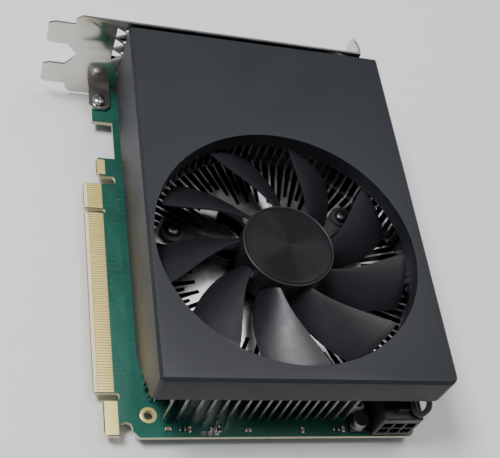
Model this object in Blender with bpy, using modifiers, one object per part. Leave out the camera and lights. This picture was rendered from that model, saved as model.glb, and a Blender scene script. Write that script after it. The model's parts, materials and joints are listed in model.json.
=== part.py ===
"""Dual-slot graphics card with one axial fan, built as separate parts in Blender.

Frame while modelling, in millimetres: X runs from the slot bracket (0) to the front end of
the board, Y from the edge connector (0) to the top edge, Z is 0 on the component side of the
board. MM turns these lengths into metres when a mesh is made, and the empty card_origin moves
everything so that the world origin is under the middle of the card.
"""

import math

import bmesh
import bpy
from mathutils import Matrix, Vector

MM = 0.001
GAP = 0.3  # clearance between parts that touch on the real card

# Board
PCB_THICKNESS = 1.57
PCB_LENGTH = 147.4
PCB_TOP = 111.0
PCB_LOWER = 12.6  # board edge beside the edge connector
FINGER_START, FINGER_END = 47.5, 131.8
KEY_X, KEY_HALF, KEY_DEPTH = 59.67, 0.95, 7.6
BOARD_HOLE = 1.6
TOOLING_HOLE = (139.6, 17.4)
BRACKET_HOLES = ((8.3, 7.8), (8.3, 98.0))
SCREW_HEAD_LOW = -5.4  # lowest point of the card: the heatsink screws on the solder side

# Slot bracket
PLATE_OUT, PLATE_IN = -0.5, 0.36
BRACKET_LOW, BRACKET_HIGH = -3.93, 34.81
TONGUE_END, SHOULDER, BRACKET_TOP = -14.3, -4.9, 105.7
FLANGE_REACH = 11.43
TONGUE_WIDTH = 10.19
SHEET = 0.86  # thickness of the bracket's steel
VENT_ROWS, VENTS_IN_ROW, VENT_R = 3, 22, 2.75
VENT_START = (11.6, 18.0)  # the first vent's middle in Y and Z
VENT_PITCH, VENT_ROW_PITCH, VENT_STEP = 3.85, 5.5, 1.2
TONGUE_STARTS = (BRACKET_LOW + 4.11, BRACKET_LOW + 4.11 + 20.32)

# Cover
SHROUD_X = (1.1, 144.2)
SHROUD_Y = (13.7, 112.4)
SHROUD_TOP, SHROUD_WALL = 34.5, 1.6
CORNER_R, EDGE_R = 3.6, 1.0  # the upright corner over the power socket, and all other edges
SIDE_LOW, FRONT_LOW = 4.6, 21.3
SIDE_CUT_X = 120.3  # where the side walls start to rise towards the front
DUCT_LOW = 28.4
SHROUD_SCREWS_X, SHROUD_SCREW_Z = (48.0, 124.0), 20.0

# Fan
FAN = (92.7, 61.8)
OPENING_R = 45.9
HUB_R, HUB_TOP, HUB_LOW = 16.15, 33.0, 19.8
TIP_R = 44.2
BLADES = 9
BLADE_PHASE = 11.0  # degrees, the upper tip corner of the first blade
BLADE_THICK = 1.2
RECESS_Z = 16.5
FRAME_Z = (RECESS_Z + GAP, 18.3)
LUG_R, LUG_ANGLES = 37.6, (129.8, 9.8, -110.2)
OUTLET_R, OUTLET_ANGLE = 25.0, -146.0

# Heatsink
SINK_X = (40.0, 142.2)
SINK_Y = (15.7, 110.4)
SINK_LOW, SINK_TOP = 2.0, 32.2
TOOLING_CORNER = (134.6, 10.0)  # the fins leave the corner over the board's tooling hole free from here
SINK_NOTCH = (130.0, 85.0)  # the front top corner is left free for the power socket
RECESS_R = 47.7
FIN_PAIRS = 48
FIN_THICK = 0.8
PAIR_SLOT_R, MAIN_SLOT_R, PAD_SLOT_R = 34.0, 29.5, 43.0
CHIP_RECESS_R = 22.0  # a shallow round pocket over the chip and its carrier
BOSS_R = 4.4
BANK_GAP = 14.0  # the tall fins leave off this far either side of the fan's middle, above and below
BANK_SPLIT = 45.0  # the front banks part here along Y
BANK_FOOT = 1.1
POST_HALF = 3.2  # half the width of the posts that take the cover's screws
SINK_HOLES = 21.6  # the four mounting holes lie this far either side of the chip's middle

# Chip, memory, power parts
CARRIER_TOP, DIE_TOP = 1.5, 2.5
MEMORY = ((58.0, 40.0), (58.0, 58.0), (58.0, 76.0), (92.7, 96.0))
CHOKES = ((33.5, 33.5), (33.5, 44.7), (33.5, 75.7))
MOSFETS = ((24.0, 33.5), (24.0, 44.7), (24.0, 75.7))
CANS = ((143.0, 89.6), (33.5, 55.4), (33.5, 63.4))
SOCKET_X, SOCKET_Y, SOCKET_TOP = (134.2, 147.3), (94.0, 108.6), 13.4
PIN_PITCH, PIN_LOW, PIN_HALF, PIN_DEPTH = 4.2, 4.4, 1.75, 8.5
HEADER = (135.0, 88.9)

# Ports on the bracket: middle along Y, width and height
WIDE_PORT, SLIM_PORT, ANGLED_PORT = (72.0, 25.0, 8.6), (41.9, 15.0, 5.6), (24.0, 16.0, 5.6)
PORT_LOW = 0.9
POST_PITCH = 33.3
SLIM_DEPTH, ANGLED_DEPTH = 11.5, 12.5

LEAD_R = 1.1
LEAD_ROUTE = (
    (106.9, 73.7, 18.2),
    (112.5, 78.4, 18.1),
    (119.0, 83.9, 18.1),
    (126.0, 89.9, 18.1),
    (131.2, 95.2, 18.5),
    (136.0, 101.0, 19.2),
    (139.4, 105.4, 19.4),
    (141.4, 107.6, 19.2),
    (143.1, 109.0, 18.4),
    (144.6, 109.1, 16.8),
    (145.7, 107.9, 15.4),
    (146.0, 106.3, 14.9),
    (144.4, 105.0, 14.9),
    (141.2, 104.7, 15.1),
    (138.2, 102.8, 15.5),
    (136.5, 98.6, 16.0),
    (135.5, 94.4, 16.1),
    (135.1, 91.3, 15.3),
    (135.0, 89.4, 13.5),
    (135.0, 88.9, 10.9),
)


def clear_scene():
    for obj in list(bpy.data.objects):
        bpy.data.objects.remove(obj, do_unlink=True)


def collection(name, hidden=False):
    made = bpy.data.collections.new(name)
    bpy.context.scene.collection.children.link(made)
    made.hide_render = hidden
    return made


clear_scene()
PARTS = collection("graphics_card")
CUTTERS = collection("cutters", hidden=True)


def origin_empty():
    """The empty that carries the card's modelling frame to the world frame."""
    empty = bpy.data.objects.new("card_origin", None)
    PARTS.objects.link(empty)
    middle_x = (PLATE_OUT - FLANGE_REACH + PCB_LENGTH) / 2
    middle_y = (TONGUE_END + SHROUD_Y[1]) / 2
    empty.location = Vector((-middle_x, -middle_y, -SCREW_HEAD_LOW)) * MM
    return empty


ORIGIN = origin_empty()


def material(name, color, roughness, metallic=0.0):
    made = bpy.data.materials.get(name)
    if made:
        return made
    made = bpy.data.materials.new(name)
    made.use_nodes = True
    shader = made.node_tree.nodes["Principled BSDF"]
    shader.inputs["Base Color"].default_value = (*color, 1.0)
    shader.inputs["Roughness"].default_value = roughness
    shader.inputs["Metallic"].default_value = metallic
    made.diffuse_color = (*color, 1.0)
    return made


def green_board():
    return material("solder_mask", (0.02, 0.11, 0.07), 0.35)


def black_cover():
    return material("cover_plastic", (0.035, 0.038, 0.044), 0.5)


def black_fan():
    return material("fan_plastic", (0.015, 0.016, 0.018), 0.32)


def plated_steel():
    return material("plated_steel", (0.62, 0.61, 0.58), 0.28, 1.0)


def aluminium():
    return material("aluminium", (0.72, 0.72, 0.71), 0.3, 1.0)


def black_plastic():
    return material("connector_plastic", (0.02, 0.02, 0.02), 0.45)


def chip_black():
    return material("chip_resin", (0.03, 0.03, 0.032), 0.55)


def dark_metal():
    return material("dark_metal", (0.12, 0.12, 0.12), 0.4, 1.0)


def add(name, data, home=None):
    obj = bpy.data.objects.new(name, data)
    (home or PARTS).objects.link(obj)
    obj.parent = ORIGIN
    if home is CUTTERS:
        obj.hide_render = True
        obj.display_type = "WIRE"
    return obj


def finish(obj, look, smooth=False):
    obj.data.materials.clear()
    obj.data.materials.append(look)
    if smooth:
        obj.data.shade_smooth()
        obj.data.set_sharp_from_angle(angle=math.radians(35))
    return obj


def mesh_object(name, shape, home=None):
    data = bpy.data.meshes.new(name)
    shape.to_mesh(data)
    shape.free()
    return add(name, data, home)


def box(name, low, high, home=None):
    shape = bmesh.new()
    bmesh.ops.create_cube(shape, size=1.0)
    low, high = Vector(low), Vector(high)
    for vert in shape.verts:
        vert.co = Vector(
            (low[i] + (vert.co[i] + 0.5) * (high[i] - low[i])) * MM for i in range(3)
        )
    return mesh_object(name, shape, home)


def rod(name, centre, radius, low, high, sides=24, axis="Z", home=None, tip=None):
    """A cylinder, or a cone where tip is given, from low to high along an axis through centre."""
    shape = bmesh.new()
    bmesh.ops.create_cone(
        shape,
        cap_ends=True,
        segments=sides,
        radius1=radius * MM,
        radius2=(radius if tip is None else tip) * MM,
        depth=(high - low) * MM,
    )
    turn = {"Z": Matrix(), "X": Matrix.Rotation(math.pi / 2, 4, "Y")}
    turn["Y"] = Matrix.Rotation(-math.pi / 2, 4, "X")
    place = {"X": (None, 0, 1), "Y": (0, None, 1), "Z": (0, 1, None)}[axis]
    middle = [(low + high) / 2 if i is None else centre[i] for i in place]
    shape.transform(Matrix.Translation(Vector(middle) * MM) @ turn[axis])
    return mesh_object(name, shape, home)


def outline(name, loops, low, high, axis="Z", home=None):
    """Closed loops, the first outside and the rest holes, made solid between low and high.

    On axis Z a loop's points are (x, y); on axis X they are (y, z).
    """
    curve = bpy.data.curves.new(name, "CURVE")
    curve.dimensions = "2D"
    curve.fill_mode = "BOTH"
    curve.extrude = (high - low) / 2 * MM
    for points in loops:
        spline = curve.splines.new("POLY")
        spline.points.add(len(points) - 1)
        spline.use_cyclic_u = True
        for point, (across, up) in zip(spline.points, points):
            point.co = (across * MM, up * MM, 0.0, 1.0)
    holder = bpy.data.objects.new(name, curve)
    PARTS.objects.link(holder)
    graph = bpy.context.evaluated_depsgraph_get()
    data = bpy.data.meshes.new_from_object(holder.evaluated_get(graph))
    bpy.data.objects.remove(holder, do_unlink=True)
    bpy.data.curves.remove(curve)
    shape = bmesh.new()
    shape.from_mesh(data)
    bpy.data.meshes.remove(data)
    bmesh.ops.remove_doubles(shape, verts=shape.verts, dist=0.001 * MM)
    turn = Matrix() if axis == "Z" else Matrix(((0, 0, 1, 0), (1, 0, 0, 0), (0, 1, 0, 0), (0, 0, 0, 1)))
    shift = (0, 0, (low + high) / 2) if axis == "Z" else ((low + high) / 2, 0, 0)
    shape.transform(Matrix.Translation(Vector(shift) * MM) @ turn)
    bmesh.ops.recalc_face_normals(shape, faces=shape.faces)
    return mesh_object(name, shape, home)


def circle(centre, radius, sides=20):
    return [
        (
            centre[0] + radius * math.cos(2 * math.pi * k / sides),
            centre[1] + radius * math.sin(2 * math.pi * k / sides),
        )
        for k in range(sides)
    ]


def turned(name, profile, centre, sides=24, home=None):
    """A profile of (radius, height), outer side top to bottom, turned about a vertical axis."""
    shape = bmesh.new()
    verts = [shape.verts.new((r * MM, 0.0, z * MM)) for r, z in profile]
    for first, second in zip(verts, verts[1:] + verts[:1]):
        shape.edges.new((first, second))
    obj = mesh_object(name, shape, home)
    obj.location = Vector((*centre, 0.0)) * MM
    screw = obj.modifiers.new("turn", "SCREW")
    screw.steps = screw.render_steps = sides
    screw.use_merge_vertices = True
    screw.merge_threshold = 0.00001
    return obj


def tube(name, points, radius, rings=2, home=None):
    curve = bpy.data.curves.new(name, "CURVE")
    curve.dimensions = "3D"
    curve.bevel_depth = radius * MM
    curve.bevel_resolution = rings
    curve.use_fill_caps = True
    spline = curve.splines.new("POLY")
    spline.points.add(len(points) - 1)
    for point, place in zip(spline.points, points):
        point.co = (*(Vector(place) * MM), 1.0)
    return add(name, curve, home)


def smooth_route(points, steps=2):
    """Points on a smooth curve through the given ones (Catmull-Rom)."""
    ends = [Vector(p) for p in (points[0], *points, points[-1])]
    route = []
    for a, b, c, d in zip(ends, ends[1:], ends[2:], ends[3:]):
        square = 2 * a - 5 * b + 4 * c - d
        cube = 3 * b - a - 3 * c + d
        for k in range(steps):
            t = k / steps
            route.append(0.5 * (2 * b + (c - a) * t + square * t**2 + cube * t**3))
    return [*route, ends[-1]]


def combine(obj, other, operation="DIFFERENCE"):
    """Cuts other from obj, or joins it on, and removes other."""
    step = obj.modifiers.new(other.name, "BOOLEAN")
    step.operation = operation
    step.solver = "EXACT"
    step.object = other
    graph = bpy.context.evaluated_depsgraph_get()
    data = bpy.data.meshes.new_from_object(obj.evaluated_get(graph))
    obj.modifiers.clear()
    old = obj.data
    obj.data = data
    bpy.data.meshes.remove(old)
    bpy.data.objects.remove(other, do_unlink=True)
    return obj


def cut(obj, *others):
    for other in others:
        combine(obj, other)
    return obj


def join(obj, *others):
    for other in others:
        combine(obj, other, "UNION")
    return obj


def rounded(obj, width, segments=2, angle=40):
    step = obj.modifiers.new("rounded", "BEVEL")
    step.width = width * MM
    step.segments = segments
    step.limit_method = "ANGLE"
    step.angle_limit = math.radians(angle)
    return obj


def polar(angle, radius, centre=FAN):
    return (
        centre[0] + radius * math.cos(math.radians(angle)),
        centre[1] + radius * math.sin(math.radians(angle)),
    )


# ---------------------------------------------------------------- board and chips


def board_outline():
    """The board's edge, from the bracket end round by the edge connector to the front."""
    notch_r, notch_y = 2.1, 10.0
    points = [(1.2, PCB_TOP), (1.2, 4.8), (18.0, 4.8), (18.0, 12.3), (35.4, 12.3)]
    points += [(35.4, 6.4), (36.6, 5.2), (42.6, 5.2), (43.8, 6.4), (43.8, 11.2), (44.8, 12.0)]
    points += [(46.5, 12.0), (47.5, 11.2), (FINGER_START, 0.6), (FINGER_START + 0.6, 0.0)]
    points += [(KEY_X - KEY_HALF - 0.5, 0.0), (KEY_X - KEY_HALF, 0.5), (KEY_X - KEY_HALF, KEY_DEPTH - 0.6)]
    points += [(KEY_X - 0.4, KEY_DEPTH), (KEY_X + 0.4, KEY_DEPTH), (KEY_X + KEY_HALF, KEY_DEPTH - 0.6)]
    points += [(KEY_X + KEY_HALF, 0.5), (KEY_X + KEY_HALF + 0.5, 0.0)]
    points += [(FINGER_END - 0.6, 0.0), (FINGER_END, 0.6), (FINGER_END, 7.8), (132.4, 8.4), (133.7, 8.4)]
    points += [(134.3, 7.8), (134.3, 2.9), (145.4, 2.9), (146.8, 4.3), (146.8, 7.9), (144.0, 7.9)]
    for k in range(5):
        turn = math.radians(-90 - 45 * k)
        points.append((144.0 + notch_r * math.cos(turn), notch_y + notch_r * math.sin(turn)))
    points += [(145.2, 12.1), (PCB_LENGTH, 14.1), (PCB_LENGTH, PCB_TOP - 1.5), (145.9, PCB_TOP)]
    return points


def make_board():
    holes = [circle(BRACKET_HOLES[0], BOARD_HOLE), circle(BRACKET_HOLES[1], BOARD_HOLE)]
    holes.append(circle(TOOLING_HOLE, BOARD_HOLE))
    for x in (-SINK_HOLES, SINK_HOLES):
        for y in (-SINK_HOLES, SINK_HOLES):
            holes.append(circle((FAN[0] + x, FAN[1] + y), BOARD_HOLE + 0.2))
    board = outline("circuit_board", [board_outline(), *holes], -PCB_THICKNESS, 0.0)
    finish(board, green_board())


def chip(name, centre, size, low, high, look, round_edge=0.15):
    half = (size[0] / 2, size[1] / 2)
    obj = box(
        name,
        (centre[0] - half[0], centre[1] - half[1], low),
        (centre[0] + half[0], centre[1] + half[1], high),
    )
    rounded(obj, round_edge, 1)
    return finish(obj, look)


def make_chips():
    carrier = material("substrate", (0.03, 0.16, 0.07), 0.4)
    chip("gpu_substrate", FAN, (29.0, 29.0), GAP, CARRIER_TOP, carrier)
    silicon = material("silicon", (0.2, 0.21, 0.24), 0.12, 0.6)
    chip("gpu_die", FAN, (13.5, 11.0), CARRIER_TOP + GAP, DIE_TOP, silicon)
    for k, centre in enumerate(MEMORY, 1):
        size = (11.0, 14.0) if k < 4 else (14.0, 11.0)
        chip(f"memory_chip_{k}", centre, size, GAP, 1.4, chip_black())
    for k, centre in enumerate(CHOKES, 1):
        chip(f"choke_{k}", centre, (7.0, 7.2), GAP, 4.3, material("ferrite", (0.13, 0.13, 0.13), 0.5), 0.5)
    for k, centre in enumerate(MOSFETS, 1):
        chip(f"mosfet_{k}", centre, (6.0, 5.2), GAP, 1.3, chip_black())


def make_capacitor(name, centre):
    """A polymer can on a square plastic foot, with the rolled groove near its base."""
    profile = [(0, 5.2), (2.7, 5.2), (3.0, 4.9), (3.0, 2.1), (2.75, 1.8), (3.0, 1.5), (3.0, 1.0), (0, 1.0)]
    can = turned(name, profile, centre, 16)
    x, y = centre
    join(can, box("foot", (x - 3.2, y - 3.2, GAP), (x + 3.2, y + 3.2, 1.2), CUTTERS))
    finish(can, aluminium(), smooth=True)


# ---------------------------------------------------------------- slot bracket and ports


def vent_cutter():
    """Rows of alternately pointing triangular prisms that pierce the plate over the upper slot."""
    radius = VENT_R * MM
    shape = bmesh.new()
    for row in range(VENT_ROWS):
        for k in range(VENTS_IN_ROW):
            up = k % 2 == 0
            height = VENT_START[1] + VENT_ROW_PITCH * row + (0.0 if up else VENT_STEP)
            made = bmesh.ops.create_cone(
                shape, cap_ends=True, segments=3, radius1=radius, radius2=radius, depth=6 * MM
            )
            turn = Matrix.Rotation(math.pi / 2, 4, "Y") @ Matrix.Rotation(0 if up else math.pi, 4, "Z")
            place = Matrix.Translation(Vector((0.0, VENT_START[0] + k * VENT_PITCH, height)) * MM)
            bmesh.ops.transform(shape, matrix=place @ turn, verts=made["verts"])
    return mesh_object("vents", shape, CUTTERS)


def port_window(port, low):
    middle, width, height = port
    half = width / 2 + 0.5
    return [
        (middle - half, low - 0.5),
        (middle + half, low - 0.5),
        (middle + half, low + height + 0.5),
        (middle - half, low + height + 0.5),
    ]


def bracket_outline():
    low, high = TONGUE_STARTS
    points = [(SHOULDER + 2.0, BRACKET_LOW), (BRACKET_TOP, BRACKET_LOW), (BRACKET_TOP, BRACKET_HIGH)]
    points += [(SHOULDER + 2.0, BRACKET_HIGH), (SHOULDER, BRACKET_HIGH - 2.0)]
    points += [(SHOULDER, high + TONGUE_WIDTH)]
    points += [(TONGUE_END + 2.2, high + TONGUE_WIDTH), (TONGUE_END, high + TONGUE_WIDTH - 1.0)]
    points += [(TONGUE_END, high + 1.0), (TONGUE_END + 2.2, high), (SHOULDER - 1.6, high)]
    points += [(SHOULDER + 2.4, (high + low + TONGUE_WIDTH) / 2), (SHOULDER - 1.6, low + TONGUE_WIDTH)]
    points += [(TONGUE_END + 2.2, low + TONGUE_WIDTH), (TONGUE_END, low + TONGUE_WIDTH - 1.0)]
    points += [(TONGUE_END, low + 1.0), (TONGUE_END + 2.2, low), (SHOULDER, low)]
    points += [(SHOULDER, BRACKET_LOW + 2.0)]
    return points


def make_bracket():
    windows = [port_window(port, PORT_LOW) for port in (WIDE_PORT, SLIM_PORT, ANGLED_PORT)]
    windows += [circle(post_place(side), 1.9, 12) for side in (-1, 1)]
    plate = outline("slot_bracket", [bracket_outline(), *windows], PLATE_OUT, PLATE_IN, "X")
    cut(plate, vent_cutter())
    flange = outline("flange", [flange_outline()], BRACKET_TOP - SHEET, BRACKET_TOP, "Z", CUTTERS)
    flange_turn = Matrix(((1, 0, 0, 0), (0, 0, -1, 0), (0, 1, 0, 0), (0, 0, 0, 1)))
    flange.data.transform(flange_turn)
    flange.data.transform(Matrix.Translation(Vector((0, 2 * BRACKET_TOP - SHEET, 0)) * MM))
    join(plate, flange)
    for k, (x, y) in enumerate(BRACKET_HOLES):
        loops = [tab_outline(x, y), circle((x, y), BOARD_HOLE)]
        tab = outline("tab", loops, GAP, GAP + SHEET, "Z", CUTTERS)
        join(plate, tab)
    finish(plate, plated_steel())


def flange_outline():
    """The fixing flange seen from above: two open screw slots, one for each slot of the case."""
    outer = PLATE_OUT - FLANGE_REACH
    points = [(PLATE_IN - 0.2, BRACKET_LOW), (PLATE_IN - 0.2, BRACKET_HIGH), (-4.0, BRACKET_HIGH)]
    points += [(outer + 2.0, BRACKET_HIGH - 2.0), (outer, BRACKET_HIGH - 5.0)]
    for middle in (TONGUE_STARTS[1] + 3.6, TONGUE_STARTS[0] + 3.6):
        points += [(outer, middle + 2.2), (-7.2, middle + 2.2), (-5.6, middle + 1.1)]
        points += [(-5.6, middle - 1.1), (-7.2, middle - 2.2), (outer, middle - 2.2)]
    points += [(outer, BRACKET_LOW + 1.0), (outer + 1.0, BRACKET_LOW)]
    return points


def tab_outline(x, y):
    """The tab that is bent over the board and screwed to it."""
    return [(PLATE_IN - 0.3, y - 4.0), (x + 2.2, y - 4.0), (x + 4.2, y - 2.0), (x + 4.2, y + 2.0),
            (x + 2.2, y + 4.0), (PLATE_IN - 0.3, y + 4.0)]


def shell(name, port, depth, wall=0.4, corner=1.2):
    """A sheet-metal port shell: a box open towards the outside of the case."""
    middle, width, height = port
    low, high = PORT_LOW, PORT_LOW + height
    left, right = middle - width / 2, middle + width / 2

    def loop(inset):
        c = corner - inset * 0.4
        a, b, d, e = left + inset, right - inset, low + inset, high - inset
        return [(a, d + c), (a + c, d), (b - c, d), (b, d + c), (b, e), (a, e)]

    obj = outline(name, [loop(0.0)], PLATE_OUT - 0.4, depth, "X")
    cut(obj, outline("mouth", [loop(wall)], PLATE_OUT - 2.0, depth - wall * 2, "X", CUTTERS))
    return finish(obj, plated_steel())


def tongue(name, port, depth, size, reach=0.9):
    """The contact tongue inside a port, with the block that carries it."""
    middle, width, height = port
    centre = PORT_LOW + height / 2
    block = box(
        name,
        (depth - 4.2, middle - width / 2 + 0.8, PORT_LOW + 1.3),
        (depth - 1.2, middle + width / 2 - 0.8, PORT_LOW + height - 0.8),
    )
    blade = box(
        "blade",
        (reach, middle - size[0] / 2, centre - size[1] / 2),
        (depth - 3.0, middle + size[0] / 2, centre + size[1] / 2),
        CUTTERS,
    )
    join(block, blade)
    return finish(block, black_plastic())


def make_ports():
    shell("slim_port_shell", SLIM_PORT, SLIM_DEPTH)
    tongue("slim_port_tongue", SLIM_PORT, SLIM_DEPTH, (11.0, 1.2))
    shell("angled_port_shell", ANGLED_PORT, ANGLED_DEPTH)
    tongue("angled_port_tongue", ANGLED_PORT, ANGLED_DEPTH, (12.2, 1.4))
    make_wide_port()
    for k, side in enumerate((-1, 1), 1):
        centre = post_place(side)
        post = rod(f"port_post_{k}", centre, 2.7, -5.4, PLATE_OUT - GAP, 6, "X")
        thread = rod("thread", centre, 1.4, -1.2, 4.4, 12, "X", CUTTERS)
        hole = rod("hole", centre, 1.4, -7.0, -2.6, 12, "X", CUTTERS)
        finish(cut(join(post, thread), hole), plated_steel())


def post_place(side):
    """Middle of a threaded post beside the wide port, in Y and Z."""
    return WIDE_PORT[0] + side * POST_PITCH / 2, PORT_LOW + WIDE_PORT[2] / 2


def make_wide_port():
    """The wide port's metal flange and skirt, and the plastic block that fills it."""
    middle, width, height = WIDE_PORT
    low, high, c = PORT_LOW, PORT_LOW + height, 1.8

    def loop(inset):
        a, b = middle - width / 2 + inset, middle + width / 2 - inset
        return [(a, low + inset + c), (a + c, low + inset), (b - c, low + inset), (b, low + inset + c),
                (b, high - inset), (a, high - inset)]

    skirt = outline("wide_port_shell", [loop(0.0), loop(0.5)], -5.0, 6.0, "X")
    rim = [(middle - 20.0, low), (middle + 20.0, low), (middle + 20.0, high), (middle - 20.0, high)]
    holes = [circle(post_place(side), 1.9, 12) for side in (-1, 1)]
    back = PLATE_IN + GAP
    flange = outline("flange", [rim, loop(0.25), *holes], back, back + 0.8, "X", CUTTERS)
    finish(join(skirt, flange), plated_steel())
    block = outline("wide_port_block", [loop(0.5 + GAP)], -3.6, 12.0, "X")
    foot = box("foot", (6.0 + GAP, middle - 15.0, GAP), (13.5, middle + 15.0, high), CUTTERS)
    slot = box("slot", (-6.0, middle + 7.4, low + 2.0), (2.0, middle + 8.2, high - 2.0), CUTTERS)
    finish(cut(join(block, foot), slot), black_plastic())


# ---------------------------------------------------------------- cover


def make_shroud():
    (x0, x1), (y0, y1), t = SHROUD_X, SHROUD_Y, SHROUD_WALL
    cover = box("fan_shroud", (x0, y0, SIDE_LOW), (x1, y1, SHROUD_TOP))
    round_socket_corner(cover)
    rounded(cover, EDGE_R, 1)
    hollow = box("hollow", (x0 - 5, y0 + t, SIDE_LOW - 5), (x1 - t, y1 - t, SHROUD_TOP - t), CUTTERS)
    rise = [(SIDE_CUT_X, SIDE_LOW - 5), (SIDE_CUT_X, SIDE_LOW), (x1 - 0.8, FRONT_LOW), (x1 + 5, FRONT_LOW)]
    wedge = side_cut("front_rise", [*rise, (x1 + 5, SIDE_LOW - 5)])
    cut(cover, hollow, wedge)
    duct = rod("duct", FAN, OPENING_R + 1.3, DUCT_LOW, SHROUD_TOP - 0.6, 64, home=CUTTERS)
    join(cover, duct)
    opening = rod("opening", FAN, OPENING_R, DUCT_LOW - 2, SHROUD_TOP + 2, 64, home=CUTTERS)
    cut(cover, opening)
    for x in SHROUD_SCREWS_X:
        cut(cover, rod("screw_hole", (x, SHROUD_SCREW_Z), 1.5, y1 - 5, y1 + 5, 16, "Y", CUTTERS))
    for x in SHROUD_SCREWS_X:
        cut(cover, rod("screw_seat", (x, SHROUD_SCREW_Z), 3.0, y1 - 0.8, y1 + 5, 16, "Y", CUTTERS))
    finish(cover, black_cover())


def round_socket_corner(cover):
    """Rounds the upright edge of the cover's block that stands over the power socket."""
    shape = bmesh.new()
    shape.from_mesh(cover.data)
    corner = Vector((SHROUD_X[1], SHROUD_Y[1])) * MM
    edges = [e for e in shape.edges if all((v.co.xy - corner).length < 0.1 * MM for v in e.verts)]
    bmesh.ops.bevel(shape, geom=edges, offset=CORNER_R * MM, segments=5, affect="EDGES", profile=0.5)
    shape.to_mesh(cover.data)
    shape.free()


def side_cut(name, profile):
    """A cutter right across the card, with its outline given in X and Z."""
    made = outline(name, [[(x, z) for x, z in profile]], -160.0, 10.0, "Z", CUTTERS)
    made.data.transform(Matrix.Rotation(math.pi / 2, 4, "X"))
    return made


def make_shroud_screws():
    top = SHROUD_Y[1]
    for k, x in enumerate(SHROUD_SCREWS_X, 1):
        screw = rod(f"shroud_screw_{k}", (x, SHROUD_SCREW_Z), 2.6, top - 0.5, top - GAP + 0.3, 16, "Y")
        shank = rod("shank", (x, SHROUD_SCREW_Z), 1.1, SINK_Y[1] - 5.5, top - 0.3, 12, "Y", CUTTERS)
        finish(join(screw, shank), dark_metal(), smooth=True)


# ---------------------------------------------------------------- heatsink


def slot_depth(angle, within_pair):
    """How far in a slot reaches: less under the fan's lugs, where the base stays solid."""
    for lug in (*LUG_ANGLES, -50.2, -146.0):
        if abs((angle - lug + 180) % 360 - 180) < 8.5:
            return PAD_SLOT_R if lug in LUG_ANGLES else 37.5
    return PAIR_SLOT_R if within_pair else MAIN_SLOT_R


def corner_between(first, second):
    """The heatsink's corner if it lies between two directions, as a list of one point or none."""
    for x in SINK_X:
        for y in SINK_Y:
            angle = math.degrees(math.atan2(y - FAN[1], x - FAN[0]))
            if 0 < (angle - first) % 360 < (second - first) % 360:
                return [(x, y)]
    return []


def fin_outline():
    """The heatsink seen from above: fins in pairs, the slot within a pair shorter than the next."""
    step = 360 / FIN_PAIRS
    spread = step * 0.235
    points = []
    for k in range(FIN_PAIRS):
        for side, within in ((-spread, True), (spread, False)):
            middle = k * step + side
            ray = Vector((math.cos(math.radians(middle)), math.sin(math.radians(middle))))
            across = Vector((-ray.y, ray.x)) * FIN_THICK / 2
            depth = {s: slot_depth(middle + s * step / 4, (side < 0) == (s > 0)) for s in (-1, 1)}
            centre = Vector(FAN)
            points.append(tuple(centre + ray * depth[-1] - across))
            points += fin_end(centre, ray, across)
            points.append(tuple(centre + ray * depth[1] + across))
    return points


def to_edge(start, ray):
    """Where a line from start meets the heatsink's rectangular edge."""
    reach = math.inf
    for axis, (low, high) in enumerate((SINK_X, SINK_Y)):
        if abs(ray[axis]) > 1e-9:
            wall = high if ray[axis] > 0 else low
            reach = min(reach, (wall - start[axis]) / ray[axis])
    return start + ray * reach


def fin_end(centre, ray, across):
    """A fin's two outer corners, where its sides meet the heatsink's edge, and a corner between."""
    ends = [to_edge(centre + across * side, ray) for side in (-1, 1)]
    first, second = ((p - centre).angle_signed(Vector((1, 0))) for p in ends)
    between = corner_between(math.degrees(first), math.degrees(second))
    return [tuple(ends[0]), *between, tuple(ends[1])]


def sink_clearances(low):
    """Cutters for the corner kept free for the power socket and the channel for the fan's lead."""
    notch_x, notch_y = SINK_NOTCH
    return (
        box("corner_notch", (notch_x, notch_y, 0), (160, 130, 50), CUTTERS),
        box("lead_channel", (122.0, notch_y + 1, low), (notch_x + 1, 99.0, 50), CUTTERS),
    )


def make_heatsink():
    """The low part of the heatsink: core, bosses and the fins up to the floor of the fan's recess."""
    sink = outline("heatsink", [fin_outline()], SINK_LOW, RECESS_Z)
    cut(sink, *sink_clearances(RECESS_Z))
    cut(sink, rod("chip_recess", FAN, CHIP_RECESS_R, 0, DIE_TOP + GAP, 40, home=CUTTERS))
    for x in (-SINK_HOLES, SINK_HOLES):
        for y in (-SINK_HOLES, SINK_HOLES):
            centre = (FAN[0] + x, FAN[1] + y)
            join(sink, rod("boss", centre, BOSS_R, GAP, RECESS_Z - 1.5, 16, home=CUTTERS))
            cut(sink, rod("thread", centre, 1.5, -1.0, 10.0, 12, home=CUTTERS))
    corner_end = (160, TOOLING_HOLE[1] + 4.0, RECESS_Z - 1.0)
    cut(sink, box("tooling_corner", (*TOOLING_CORNER, 0), corner_end, CUTTERS))
    for angle in LUG_ANGLES:
        cut(sink, rod("lug_thread", polar(angle, LUG_R), 1.5, 10.0, 20.0, 12, home=CUTTERS))
    finish(sink, aluminium())


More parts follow.
